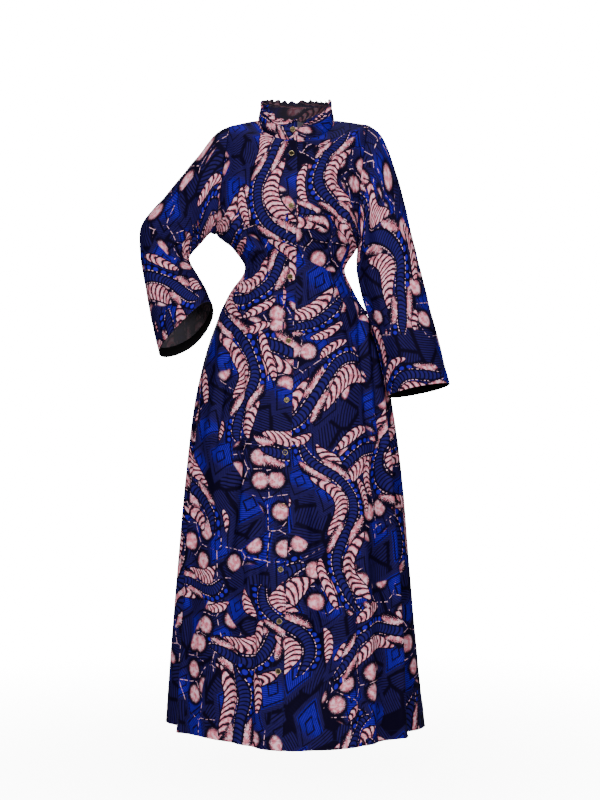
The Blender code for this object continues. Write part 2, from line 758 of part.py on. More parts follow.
def main():
    for thing in list(bpy.data.objects):
        bpy.data.objects.remove(thing, do_unlink=True)

    print_colour = (0.020, 0.024, 0.120)
    panels = {
        "front_right": quarter_quads("front_right"),
        "front_left": quarter_quads("front_left"),
        "back": quarter_quads("back_right") + quarter_quads("back_left"),
        "sleeve_right": quads_of(sleeve_grid("right"), around=True),
        "sleeve_left": quads_of(sleeve_grid("left"), around=True),
    }
    normals = {}
    uses = {}
    for name, quads in panels.items():
        add_normals(quads, normals)
        for key in {key_of(point) for quad in quads for point in quad}:
            uses[key] = uses.get(key, 0) + 1
    seams = {key for key, count in uses.items() if count > 1}
    for name, quads in panels.items():
        make_wall(name, quads, CLOTH, make_material(f"{name}_print", print_colour, 0.72), normals, seams)

    for side in ("right", "left"):
        name = f"cuff_band_{side}"
        make_cuff_band(name, side, make_material(f"{name}_black", (0.012, 0.012, 0.014), 0.85))
    make_collar(make_material("collar_print", print_colour, 0.72))
    make_studs(panels["front_right"], make_material("antique_brass", (0.42, 0.30, 0.14), 0.38, 1.0))


main()
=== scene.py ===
"""Ankara shirt dress: its cloth with folds, gathers and creases, its wax print, bands, stitching and studs.

Metres, +Z up. The dress faces -Y and its wearer's left is +X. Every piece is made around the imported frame.
"""

import math
from collections import namedtuple

import bmesh
import bpy
import numpy as np
from bpy.props import FloatProperty, FloatVectorProperty, IntProperty, PointerProperty
from mathutils import Matrix, Vector, noise


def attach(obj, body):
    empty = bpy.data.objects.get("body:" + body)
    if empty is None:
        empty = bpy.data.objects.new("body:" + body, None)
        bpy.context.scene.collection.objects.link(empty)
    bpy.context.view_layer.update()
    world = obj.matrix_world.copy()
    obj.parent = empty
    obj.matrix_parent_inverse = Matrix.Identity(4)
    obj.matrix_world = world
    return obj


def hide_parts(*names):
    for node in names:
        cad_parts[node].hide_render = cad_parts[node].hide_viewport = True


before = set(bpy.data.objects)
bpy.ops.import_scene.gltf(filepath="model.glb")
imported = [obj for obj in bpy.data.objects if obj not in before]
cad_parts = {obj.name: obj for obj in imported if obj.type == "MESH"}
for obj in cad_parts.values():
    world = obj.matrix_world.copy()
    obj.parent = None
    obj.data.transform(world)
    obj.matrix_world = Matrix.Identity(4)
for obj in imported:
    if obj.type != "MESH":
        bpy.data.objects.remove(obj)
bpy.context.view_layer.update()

bl_info = {
    "name": "Ankara shirt dress",
    "version": (1, 0, 0),
    "blender": (4, 5, 0),
    "location": "View3D > Sidebar > Dress",
    "description": "Builds a printed cotton shirt dress with its collar, sleeves, bands and press studs",
    "category": "Add Mesh",
}

# Heights
HEM = -1.430
WAIST = -0.362
CHEST_CENTRE = -0.295
NECK_SIDE = -0.012
NECK_DROP = 0.060
NECK_RISE = 0.008

# Plan sizes
NECK_HALF_WIDTH = 0.0905
NECK_FRONT = 0.085
NECK_BACK = 0.070
SIDE_SEAM_Y = 0.005
SHOULDER_Y = 0.002
SHOULDER_TURN = math.radians(48)
SQUARENESS = 0.90
ROW_SPREAD = 1.35
ROW_SAG = 1.3
SHOULDER_EASE = 1.2
FOLD_GROWTH = 0.7

# Front opening
OVERLAP = 0.028
UNDERLAY = 0.0028
UNDERLAY_CLEAR = 0.004
UNDERLAY_EASE = 0.025
NECK_UNDERLAY = 0.0024
NECK_UNDERLAY_SPAN = 0.08

# Rows and columns of the cloth
COLUMNS = 88
SKIRT_ROWS = 168
BODICE_ROWS = 24
ARMHOLE_ROWS = 60
SLEEVE_ROWS = 150
COLLAR_COLUMNS = 561
STAND_ROWS = 16
RUFFLE_ROWS = 14

# Levels of the body's rows: 0 to 1 up the skirt, 1 to 2 up to the chest, 2 to 3 up the armholes
LEVELS = [
    start + i / count
    for start, count in enumerate((SKIRT_ROWS, BODICE_ROWS, ARMHOLE_ROWS))
    for i in range(count)
]
LEVELS.append(3.0)

# Share of the armhole rows that lie below the neckline
NECK_SHARE = {"front": 1 - 25 / ARMHOLE_ROWS, "back": 1 - 20 / ARMHOLE_ROWS}


def table(columns, per, *rows):
    """Rows of a table by the names of its columns; per is 1000 where all its numbers are millimetres."""
    kind = namedtuple("Row", columns)
    return [kind(*(value / per for value in row)) for row in rows]


# Half widths of the dress towards the wearer's right and left, and its depths before and behind the axis
BODY = table(
    "height right left front back", 1000,
    (0, 188, 143, 75, 66),
    (-72, 188, 143, 85, 98),
    (-140, 188, 143, 110, 116),
    (-210, 188, 143, 131, 118),
    (-280, 188, 146, 123, 106),
    (-313, 150, 141, 112, 98),
    (-362, 120, 114, 99, 92),
    (-416, 154, 136, 112, 116),
    (-473, 182, 168, 130, 142),
    (-560, 212, 200, 157, 168),
    (-680, 238, 224, 190, 194),
    (-858, 258, 246, 226, 226),
    (-1070, 275, 262, 266, 260),
    (-1281, 290, 279, 302, 290),
    (-1430, 299, 295, 326, 312),
)

# Line of the opening's free edge, from the neck down to the hem
OPENING = table(
    "height across", 1000,
    (-72, 3),
    (-362, 0),
    (-600, -6),
    (-780, -11),
    (-1014, -20),
    (-1200, -24),
    (-1430, -29),
)

# Armhole of each side: its top and bottom points, how it bows and how far it reaches forward and back
Armhole = namedtuple("Armhole", "top_x top_z bottom_x bottom_z bow front back")
ARMHOLES = {
    "right": Armhole(-0.155, -0.025, -0.188, -0.280, 1.1, 0.056, 0.062),
    "left": Armhole(0.170, -0.023, 0.143, -0.313, 2.0, 0.060, 0.064),
}

# Skirt folds: angle from the centre front where they start and at the hem, in degrees towards the wearer's
# left, the height where they start, depth at the hem (minus is a trough) and half width in degrees
FOLDS = table(
    "start_angle hem_angle start depth half_width", 1,
    (-73, -63, -0.47, 0.010, 6),
    (-82, -75, -0.47, -0.020, 7),
    (-90, -89, -0.50, 0.008, 6),
    (-40, -29, -0.44, -0.014, 6),
    (-30, -20, -0.80, -0.009, 4),
    (10, 7, -0.60, -0.007, 6),
    (36, 27, -0.50, 0.007, 9),
    (52, 42, -0.46, -0.009, 6),
    (66, 57, -0.44, 0.010, 6),
    (77, 69, -0.46, -0.020, 7),
    (90, 88, -0.52, 0.008, 6),
    (108, 106, -0.46, -0.019, 7),
    (122, 121, -0.46, 0.010, 7),
    (137, 136, -0.45, -0.020, 7),
    (152, 152, -0.46, 0.010, 8),
    (169, 170, -0.45, -0.018, 7),
    (186, 185, -0.46, 0.009, 8),
    (203, 202, -0.45, -0.021, 7),
    (219, 219, -0.47, 0.010, 7),
    (235, 236, -0.45, -0.018, 7),
    (253, 254, -0.47, -0.012, 7),
)

# Uneven hem: how far it is lifted at an angle from the centre front, and over what half width, in degrees
HEM_LIFTS = table(
    "angle rise half_width", 1,
    (-90, 0.005, 14),
    (-45, 0.014, 26),
    (38, 0.006, 22),
    (90, -0.004, 16),
    (150, 0.005, 25),
)

# Gathers that draw the waist in at the sides and across the back
GATHERS_A_QUARTER = 13
GATHER_DRIFT = 1.9
GATHER_ABOVE = 0.075
GATHER_BELOW = 0.150
GATHER_CLEAR = math.radians(26)
GATHER_FULL = math.radians(44)

# Sleeve sections in millimetres, from the shoulder down: the outer and inner edge points of each flat
# section, its half depth, how far its front leans along X and Z, and how far front and back bow that way
SECTION = "outer_x outer_y outer_z inner_x inner_y inner_z half_depth lean_x lean_z bow_x bow_z"
SLEEVES = {
    "right": table(
        SECTION, 1000,
        (-155, 2, -25, -188, 5, -280, 59, 0, 0, 0, 0),
        (-190, 5, -45, -196, 8, -279, 64, 0, 0, 0, 0),
        (-236, 12, -100, -204, 12, -278, 68, 0, 0, 0, 0),
        (-302, 28, -178, -224, 24, -298, 66, 0, 0, 0, 0),
        (-364, 46, -246, -245, 34, -326, 62, 0, 0, 0, 0),
        (-372, 50, -318, -249, 30, -345, 60, -4, 2, 0, 0),
        (-359, 40, -392, -235, 6, -370, 58, -8, 6, 1, -1),
        (-343, 12, -468, -217, -34, -400, 56, -15, 12, 4, -3),
        (-317, -30, -567, -196, -80, -446, 54, -20, 17, 9.4, -6.6),
    ),
    "left": table(
        SECTION, 1000,
        (170, 2, -23, 143, 5, -313, 62, 0, 0, 0, 0),
        (198, 1, -46, 143, 5, -320, 67, 0, 1, 0, 0),
        (222, 0, -98, 142.5, 5, -330, 70, 0, 2, 0, 0),
        (252, -4, -196, 141.5, 0, -348, 70, 0, 3, 0, 0),
        (275, -14, -300, 142.5, -12, -376, 68, 0, 3, 0, 0),
        (298, -30, -396, 151, -30, -420, 66, 0, 4, 0, 0),
        (319, -48, -486, 172, -50, -494, 66, 0, 5, 0, 0),
        (337, -62, -558, 191, -66, -572, 67, 0, 7, 0, 0),
        (355, -76, -634, 210, -82, -662, 68, 0, 10, 0, 0),
    ),
}

# Sleeve folds and creases: place round the sleeve (0 is the underarm, 0.25 its front, 0.5 its outer edge),
# the section they lie at, depth (minus is a trough), half width, half length and slant round the sleeve
SLEEVE_FOLD = "around middle depth half_width half_length slant"
SLEEVE_FOLDS = {
    "right": table(
        SLEEVE_FOLD, 1,
        (0.10, 3.6, -0.010, 0.045, 1.0, 0),
        (0.97, 4.3, -0.010, 0.050, 0.6, 0),
        (0.24, 5.3, -0.009, 0.040, 0.9, 0),
        (0.36, 6.6, 0.006, 0.050, 1.2, 0),
        (0.76, 5.6, -0.010, 0.045, 1.2, 0),
    ),
    "left": table(
        SLEEVE_FOLD, 1,
        (0.15, 2.9, -0.014, 0.040, 1.5, 0),
        (0.30, 4.4, -0.006, 0.040, 1.8, 0),
        (0.20, 6.6, 0.006, 0.050, 1.6, 0),
        (0.85, 3.1, -0.013, 0.045, 1.5, 0),
        (0.72, 5.8, -0.008, 0.045, 1.8, 0),
    ),
}
SLEEVE_CREASES = {
    "right": table(
        SLEEVE_FOLD, 1,
        (0.17, 4.2, -0.0080, 0.015, 0.7, 0.05),
        (0.22, 4.5, 0.0055, 0.015, 0.8, 0.05),
        (0.28, 4.3, -0.0070, 0.014, 0.9, 0.04),
        (0.08, 4.6, -0.0060, 0.013, 0.5, 0.03),
        (0.14, 5.2, 0.0046, 0.015, 0.8, -0.03),
        (0.34, 3.2, -0.0052, 0.016, 1.0, -0.03),
        (0.13, 2.4, -0.0080, 0.016, 0.9, -0.04),
        (0.24, 2.2, 0.0034, 0.015, 0.8, -0.04),
        (0.42, 5.9, -0.0036, 0.016, 1.1, 0.02),
        (0.30, 7.0, -0.0036, 0.018, 0.9, 0.02),
        (0.62, 4.4, -0.0045, 0.015, 0.9, 0.04),
        (0.70, 4.8, 0.0040, 0.015, 0.8, 0.03),
        (0.82, 4.5, -0.0045, 0.014, 0.7, -0.04),
        (0.88, 3.0, -0.0040, 0.015, 0.8, 0.03),
    ),
    "left": table(
        SLEEVE_FOLD, 1,
        (0.09, 2.4, -0.0110, 0.020, 1.6, 0),
        (0.21, 2.6, 0.0042, 0.015, 1.1, 0.02),
        (0.27, 2.4, -0.0034, 0.015, 1.0, 0.02),
        (0.36, 4.6, -0.0034, 0.017, 1.4, -0.02),
        (0.24, 5.4, -0.0034, 0.018, 1.5, 0.02),
        (0.07, 5.4, -0.0080, 0.022, 1.8, 0.01),
        (0.15, 5.0, 0.0050, 0.018, 1.4, 0.02),
        (0.42, 6.7, -0.0030, 0.018, 1.2, 0.01),
        (0.66, 2.8, -0.0042, 0.016, 1.1, -0.02),
        (0.78, 2.4, 0.0040, 0.015, 0.9, -0.02),
        (0.90, 4.4, -0.0042, 0.016, 1.3, 0.02),
        (0.60, 6.2, -0.0034, 0.018, 1.3, 0.02),
    ),
}

# Sections over which a sleeve leaves the armhole's own curve, and comes to its full crumple
CAP_SECTIONS = 2.2
CAP_CRUMPLE = 0.8

# Creases of the body in millimetres: both ends across and up it, how far they bow across, depth (minus is a
# trough) and half width
CREASE = "start_x start_z end_x end_z bow depth half_width"
CREASES = {
    "front": table(
        CREASE, 1000,
        (-150, -215, -70, -330, 6, -6.4, 7.0),
        (-160, -240, -95, -335, 4, 5.6, 7.5),
        (-130, -120, -105, -250, -8, -5.0, 8.5),
        (-85, -90, -115, -205, 6, -4.2, 8.0),
        (-60, -205, -50, -330, 4, -4.8, 7.5),
        (70, -80, 100, -210, -6, -4.8, 8.0),
        (115, -110, 100, -260, 6, -6.2, 8.0),
        (128, -130, 118, -290, 4, 5.6, 7.5),
        (110, -240, 60, -335, -5, -5.9, 7.0),
        (50, -215, 42, -335, 3, -4.5, 7.5),
        (12, -240, 20, -350, 2, -3.1, 6.5),
        (-20, -235, -26, -350, -2, -3.4, 6.5),
        (-60, -400, -80, -560, -6, -5.6, 8.5),
        (-90, -410, -140, -600, -6, 5.6, 9.0),
        (60, -400, 85, -580, 6, -5.6, 8.5),
        (85, -410, 135, -620, 8, 5.9, 9.0),
        (30, -395, 45, -520, 3, -3.9, 8.0),
        (-30, -395, -36, -520, -3, -3.9, 8.0),
        (-215, -640, -262, -1440, 6, 7.5, 7.2),
        (-231, -660, -281, -1440, 6, -14.2, 8.1),
        (203, -700, 242, -1440, -6, 7.5, 7.2),
        (218, -700, 259, -1440, -6, -14.2, 8.1),
        (-127, -560, -150, -1020, -10, -11.2, 9.9),
        (-108, -600, -128, -980, -10, 6.3, 9.0),
        (-72, -920, -106, -1450, 10, -13.5, 9.9),
        (-90, -1000, -126, -1450, 10, 6.9, 9.0),
        (40, -900, 50, -1260, 6, -9.7, 8.1),
        (57, -940, 68, -1300, 6, 5.6, 8.1),
        (118, -880, 146, -1440, -8, -11.2, 9.9),
        (138, -860, 168, -1440, -8, 6.3, 9.0),
        (148, -450, 168, -760, 4, -9.0, 5.9),
        (161, -450, 184, -800, 4, 5.6, 5.9),
        (172, -460, 198, -780, 4, -8.3, 5.9),
        (-150, -470, -186, -780, -4, -9.0, 6.3),
        (-164, -480, -204, -760, -4, 5.6, 5.9),
    ),
    "back": table(
        CREASE, 1000,
        (-120, -110, -85, -260, 8, -5.6, 8.5),
        (-140, -180, -90, -330, 6, -6.2, 7.5),
        (-40, -180, -45, -330, -4, -4.8, 8.0),
        (20, -200, 18, -340, 4, -4.5, 8.0),
        (70, -120, 60, -300, -6, -5.3, 8.5),
        (115, -120, 85, -320, 6, -6.4, 8.0),
        (100, -100, 125, -240, 4, 5.0, 8.0),
        (-150, -460, -185, -820, -4, -9.0, 6.7),
        (-110, -440, -150, -900, -6, 6.3, 8.6),
        (-75, -430, -100, -960, -6, -10.5, 9.0),
        (-30, -440, -40, -860, -3, 5.6, 8.1),
        (20, -430, 30, -980, 3, -10.5, 9.0),
        (70, -440, 95, -880, 5, 6.3, 8.6),
        (115, -440, 155, -920, 6, -11.2, 9.0),
        (155, -470, 195, -820, 4, 5.6, 6.7),
        (-190, -900, -220, -1450, 6, -12.8, 9.0),
        (-105, -1000, -125, -1450, -8, -12.0, 9.9),
        (-15, -1040, -10, -1450, 6, 7.5, 9.9),
        (85, -1000, 105, -1450, 8, -12.8, 9.9),
        (185, -920, 215, -1450, -6, -12.0, 9.0),
    ),
}
CREASE_END = 0.12
CREASE_SOFTNESS = 0.3

# Sizes of the cloth's soft unevenness, and how strong the finer one is
CRUMPLE_SIZE = 0.060
FINE_SIZE = 0.026
FINE_SHARE = 0.6

# Distances over which creases come in beside a side seam, a placket or the back's centre, and the neck
SIDE_EASE = 0.022
CENTRE_EASE = 0.03
NECK_EASE = 0.02

# Seams: half width and depth of their grooves, the shoulder's width and an armhole's width being in levels
SEAM_WIDTH = 0.0022
SEAM_DEPTH = 0.0011
SHOULDER_SEAM = 0.015
SHOULDER_DEPTH = 0.0008
ARMHOLE_SEAM = 0.06

# Widths of the dark band inside each cuff, of the turned hem and of the placket
BAND_WIDTH = 0.016
HEM_WIDTH = 0.020
PLACKET_WIDTH = 0.026

# Thickness of the band and of the ruffle, and how far the band lies inside the sleeve's outer side
BAND_CLOTH = 0.0008
RUFFLE_CLOTH = 0.0007
BAND_INSIDE = 0.0016

# Collar
STAND_HEIGHT = 0.031
RUFFLE_HEIGHT = 0.016
COLLAR_LEAN = -0.22
COLLAR_END_FLARE = 0.006
COLLAR_END_SHARE = 0.12
LEFT_END_SPLAY = math.radians(32)
LEFT_END_SHARE = 0.22
SPLAY_GROWTH = 0.75
RIGHT_LIFT = 0.28
RIGHT_LIFT_ANGLE = math.radians(56)
RIGHT_LIFT_SPREAD = math.radians(14)
STAND_TUCK = 0.0014
STAND_ROLL = 0.0012
STAND_UNEVEN = 0.0008
RUFFLE_WAVES = 27
FINE_WAVES = 97
FINE_WAVE_SHARE = 0.35

Quarter = namedtuple("Quarter", "side facing sign lies_under")
QUARTERS = {
    "front_right": Quarter("right", "front", -1.0, False),
    "front_left": Quarter("left", "front", 1.0, True),
    "back_right": Quarter("right", "back", -1.0, False),
    "back_left": Quarter("left", "back", 1.0, False),
}

# Flat places of the panels on the printed cloth, so that each is cut from its own stretch of it
CUT_PLACES = {
    "front_right": (0.00, 0.00),
    "front_left": (0.58, 0.17),
    "back_right": (1.37, 0.11),
    "back_left": (1.37, 0.11),
    "sleeve_right": (3.10, 0.23),
    "sleeve_left": (4.25, 0.07),
    "collar_stand": (5.40, 0.31),
    "collar_ruffle": (5.90, 0.17),
}


def smooth(value):
    """Ease from 0 to 1."""
    value = np.clip(value, 0.0, 1.0)
    return value * value * (3 - 2 * value)


def bell(away, half_width):
    """1 in the middle, falling softly to nothing on both sides."""
    return np.exp(-((away / half_width) ** 2))


def hermite(start, end, start_slope, end_slope, share):
    """Cubic between two values with the slopes given at its ends."""
    square = share * share
    cube = square * share
    return (
        (2 * cube - 3 * square + 1) * start
        + (cube - 2 * square + share) * start_slope
        + (3 * square - 2 * cube) * end
        + (cube - square) * end_slope
    )


def through(rows, height):
    """Read a table at any height with a smooth curve through its rows."""
    rows = sorted(rows)
    keys = [row.height for row in rows]
    height = min(keys[-1], max(keys[0], height))
    index = max(i for i in range(len(keys) - 1) if keys[i] <= height)
    span = keys[index + 1] - keys[index]
    found = []
    for column in zip(*rows):
        slopes = []
        for place in (index, index + 1):
            low = max(0, place - 1)
            high = min(len(rows) - 1, place + 1)
            slopes.append((column[high] - column[low]) / (keys[high] - keys[low]) * span)
        found.append(hermite(column[index], column[index + 1], *slopes, (height - keys[index]) / span))
    return type(rows[0])(*found)


def bend(value, power):
    """Power that squares a round section a little, sign kept."""
    return np.copysign(np.minimum(1.0, np.abs(value)) ** power, value)


def armhole_point(side, facing, share):
    """Point of the armhole seam, from the underarm (share 0) to the shoulder seam (share 1)."""
    hole = ARMHOLES[side]
    angle = math.pi * (share - 0.5)
    rise = (1 + np.sin(angle)) / 2
    reach = np.where(facing == "front", -hole.front, hole.back)
    x = hole.bottom_x + (hole.top_x - hole.bottom_x) * rise**hole.bow
    y = SIDE_SEAM_Y + (SHOULDER_Y - SIDE_SEAM_Y) * rise + reach * np.cos(angle)
    return np.stack([x, y, hole.bottom_z + (hole.top_z - hole.bottom_z) * rise], -1)


def neck_point(angle):
    """Point of the neckline, from the centre front (0) by the shoulder (90 degrees) to the centre back."""
    forward = np.cos(angle)
    depth = np.where(forward > 0, NECK_FRONT, NECK_BACK)
    drop = np.where(forward > 0, -NECK_DROP, -NECK_RISE) * forward
    y = SHOULDER_Y * (1 - np.abs(forward)) - depth * forward
    return np.stack([NECK_HALF_WIDTH * np.sin(angle), y, NECK_SIDE + drop], -1)


def centre_height(facing, level):
    """Height of a row on the centre line."""
    if level <= 1:
        return WAIST + (HEM - WAIST) * (1 - level) ** ROW_SPREAD
    if level <= 2:
        return WAIST + (CHEST_CENTRE - WAIST) * (level - 1)
    top = float(neck_point(0 if facing == "front" else math.pi)[2])
    return CHEST_CENTRE + (top - CHEST_CENTRE) * min(1.0, (level - 2) / NECK_SHARE[facing])


def half_width(quarter, height):
    """Half width of the body on a quarter's side at a height."""
    return getattr(through(BODY, height), quarter.side)


def side_point(quarter, level):
    """Point of a row at the side seam, or on the armhole above it."""
    if level > 2:
        return armhole_point(quarter.side, quarter.facing, level - 2)
    hole = ARMHOLES[quarter.side]
    height = centre_height(quarter.facing, level)
    width = half_width(quarter, height)
    if level > 1:
        height = WAIST + (hole.bottom_z - WAIST) * (level - 1)
        widening = abs(hole.bottom_x) - half_width(quarter, hole.bottom_z)
        width = half_width(quarter, height) + widening * (level - 1)
    return np.array([quarter.sign * width, SIDE_SEAM_Y, height])


def edge_across(quarter, height):
    """Place of a front's free edge across the body, from the opening's line."""
    across = through(OPENING, height).across
    return across - OVERLAP if quarter.lies_under else across


def turned(angle):
    """An angle in degrees from -180 to 180."""
    return (angle + 180) % 360 - 180


def fold_reach(angle, height):
    """How far the skirt stands out at an angle in degrees and a height, from its folds."""
    reach = np.zeros_like(angle)
    for fold in FOLDS:
        grown = np.clip((fold.start - height) / (fold.start - HEM), 0.0, None)
        middle = fold.start_angle + (fold.hem_angle - fold.start_angle) * grown
        reach += fold.depth * grown**FOLD_GROWTH * bell(turned(angle - middle), fold.half_width)
    return reach


def gather_reach(quarter, angle, across, height, depth):
    """How far the gathers at the waist push the cloth out: uneven, and strongest on the waist itself."""
    side_share = smooth((np.radians(np.abs(angle)) - GATHER_CLEAR) / (GATHER_FULL - GATHER_CLEAR))
    span = np.where(height > WAIST, GATHER_ABOVE, GATHER_BELOW)
    held = (1 - smooth(np.abs(height - WAIST) / span)) ** 0.8
    drift = GATHER_DRIFT * np.sin(5.3 * across + 2.0)
    drift = drift + 0.9 * np.sin(13.0 * across + 4.5 - 0.5 * quarter.sign)
    strength = 0.7 + 0.3 * np.sin(17.0 * across + 4 * height)
    waves = np.cos(2 * math.pi * GATHERS_A_QUARTER * across + drift + 6 * (height - WAIST))
    return depth * side_share * held * strength * waves


def hem_rise(angle):
    """Rise of the hem over its level at an angle in degrees."""
    return sum(lift.rise * bell(turned(angle - lift.angle), lift.half_width) for lift in HEM_LIFTS)


def neck_start(quarter):
    """Angle on the neckline where a quarter's neck edge starts."""
    if quarter.facing == "back":
        return math.pi
    edge = edge_across(quarter, float(neck_point(0)[2])) * quarter.sign
    return math.asin(edge / NECK_HALF_WIDTH)


def body_row(quarter, across, level, gathers):
    """Points of a row of a quarter and the ways out: across runs from the side to the centre or free edge."""
    side = side_point(quarter, level)
    facing_sign = -1.0 if quarter.facing == "front" else 1.0
    height = centre_height(quarter.facing, level)
    start = np.array([0.0, facing_sign * getattr(through(BODY, height), quarter.facing), height])
    end_turn = math.pi / 2
    edge_turn = 0.0
    power = SQUARENESS + (1 - SQUARENESS) * max(0.0, 1 - level)
    above = level - 2 - NECK_SHARE[quarter.facing]
    if level > 2:
        end_turn += (SHOULDER_TURN - math.pi / 2) * (level - 2) ** SHOULDER_EASE
    if above > 1e-9:
        share = above / (1 - NECK_SHARE[quarter.facing])
        first = neck_start(quarter)
        start = neck_point(first + (math.pi / 2 - first) * share)
        start[0] *= quarter.sign
    elif quarter.facing == "front":
        edge = edge_across(quarter, height) * quarter.sign
        edge_turn = math.asin(bend(edge / abs(side[0]) * bend(math.sin(end_turn), power), 1 / power))
    turn = end_turn + (edge_turn - end_turn) * across
    end_fall = bend(math.cos(end_turn), power)
    run = bend(np.sin(turn), power) / bend(math.sin(end_turn), power)
    fall = (bend(np.cos(turn), power) - end_fall) / (1 - end_fall)
    x = start[0] + (side[0] - start[0]) * run
    y = side[1] + (start[1] - side[1]) * fall
    z = start[2] + (side[2] - start[2]) * np.abs(run) ** ROW_SAG
    angle = np.degrees(turn) if quarter.facing == "front" else 180 - np.degrees(turn)
    angle = angle * quarter.sign
    out = np.stack([x / side[0] ** 2, (y - side[1]) / max(abs(start[1]), 0.05) ** 2, 0 * x], -1)
    out /= np.linalg.norm(out, axis=-1, keepdims=True)
    point = np.stack([x, y, z], -1)
    if level < 2:
        reach = fold_reach(angle, z) + gather_reach(quarter, angle, across, z, gathers)
        point += out * reach[:, None]
        point[:, 2] += hem_rise(angle) * max(0.0, 1 - level) ** 2
    if quarter.lies_under:
        edge = edge_across(quarter, height) + OVERLAP
        covered = 1 - smooth((point[:, 0] - edge - UNDERLAY_CLEAR) / UNDERLAY_EASE)
        at_neck = smooth(1 - (NECK_SIDE - NECK_DROP - height) / NECK_UNDERLAY_SPAN)
        point -= out * ((UNDERLAY + NECK_UNDERLAY * at_neck) * covered)[:, None]
    return point, out


def ring_of(section, around):
    """Points of a sleeve section, place round it from the underarm by the front."""
    outer = np.array(section[:3])
    inner = np.array(section[3:6])
    front = np.array([section.lean_x, -section.half_depth, section.lean_z])
    bow = np.array([section.bow_x, 0.0, section.bow_z])
    angle = (math.pi - 2 * math.pi * around)[:, None]
    flat = (outer + inner) / 2 + (outer - inner) / 2 * np.cos(angle)
    return flat + front * np.sin(angle) + bow * np.sin(angle) ** 2


def crease_reach(folds, around, along):
    """How far a sleeve stands out round one of its rows, from its folds or creases."""
    reach = np.zeros_like(around)
    for fold in folds:
        far = (along - fold.middle) / fold.half_length
        away = (around - fold.around - fold.slant * far + 0.5) % 1 - 0.5
        reach += fold.depth * bell(away, fold.half_width) * bell(far, 1)
    return reach * smooth(along / CAP_SECTIONS)


def sleeve_row(side, around, along):
    """Points of a sleeve's row and the ways out: along runs from the armhole (0) by section to the cuff."""
    sections = SLEEVES[side]
    index = min(int(along), len(sections) - 2)
    last = min(len(sections) - 1, index + 2)
    found = []
    for values in zip(*sections):
        start_slope = (values[index + 1] - values[max(0, index - 1)]) / (2 if index else 1)
        end_slope = (values[last] - values[index]) / (last - index)
        found.append(hermite(values[index], values[index + 1], start_slope, end_slope, along - index))
    section = type(sections[0])(*found)
    point = ring_of(section, around)
    out = point - ring_of(section, np.array([0.0, 0.5])).mean(axis=0)
    out /= np.linalg.norm(out, axis=-1, keepdims=True)
    point += out * crease_reach(SLEEVE_FOLDS[side], around, along)[:, None]
    facing = np.where(around <= 0.5, "front", "back")
    seam_share = np.where(around <= 0.5, 2 * around, 2 - 2 * around)
    at_armhole = armhole_point(side, facing, seam_share) - ring_of(sections[0], around)
    return point + at_armhole * (1 - smooth(along / CAP_SECTIONS)), out


def stack_rows(rows):
    """Grids of the points and of the ways out of some rows."""
    points, outs = zip(*rows)
    return np.stack(points), np.stack(outs)


def lengths_along(grid, axis=0):
    """Lengths along an axis of a grid of points, from its first point."""
    steps = np.cumsum(np.linalg.norm(np.diff(grid, axis=axis), axis=-1), axis=axis)
    return np.concatenate([0 * np.take(steps, [0], axis), steps], axis=axis)


def grid_normals(grid, around=False):
    """Unit normals of a grid of points; around closes each row on itself."""
    wide = np.concatenate([grid[:, -1:], grid, grid[:, :1]], axis=1) if around else grid
    normal = np.cross(np.gradient(wide, axis=1), np.gradient(wide, axis=0))
    normal /= np.maximum(np.linalg.norm(normal, axis=-1, keepdims=True), 1e-9)
    return normal[:, 1:-1] if around else normal


def uneven(points, size, seed):
    """Soft random field from -1 to 1 over a grid of points, with waves of about a size in metres."""
    flat = points.reshape(-1, 3) / size + seed
    values = np.array([noise.noise(Vector(place)) for place in flat])
    return values.reshape(points.shape[:-1])


def crumpled(points, seed, fine_seed):
    """The cloth's soft unevenness over a grid of points."""
    return uneven(points, CRUMPLE_SIZE, seed) + FINE_SHARE * uneven(points, FINE_SIZE, fine_seed)


# Grid of cloth points with what its material needs: their places on the flat cloth, how far they lie from the
# edges and from the hem, and whether each row closes on itself
Sheet = namedtuple("Sheet", "grid flat edge hem around", defaults=(False,))


def turned_over(sheet):
    """The same sheet with its rows the other way, so that its outer side faces out."""
    return Sheet(*(part[:, ::-1] for part in sheet[:4]), sheet.around)


def cell_corners(grid, backwards):
    """The four corners of every cell of a grid, in order round it."""
    corners = [grid[:-1, :-1], grid[:-1, 1:], grid[1:, 1:], grid[1:, :-1]]
    return np.stack(corners[::-1] if backwards else corners, 2).reshape(-1, 4, *grid.shape[2:])


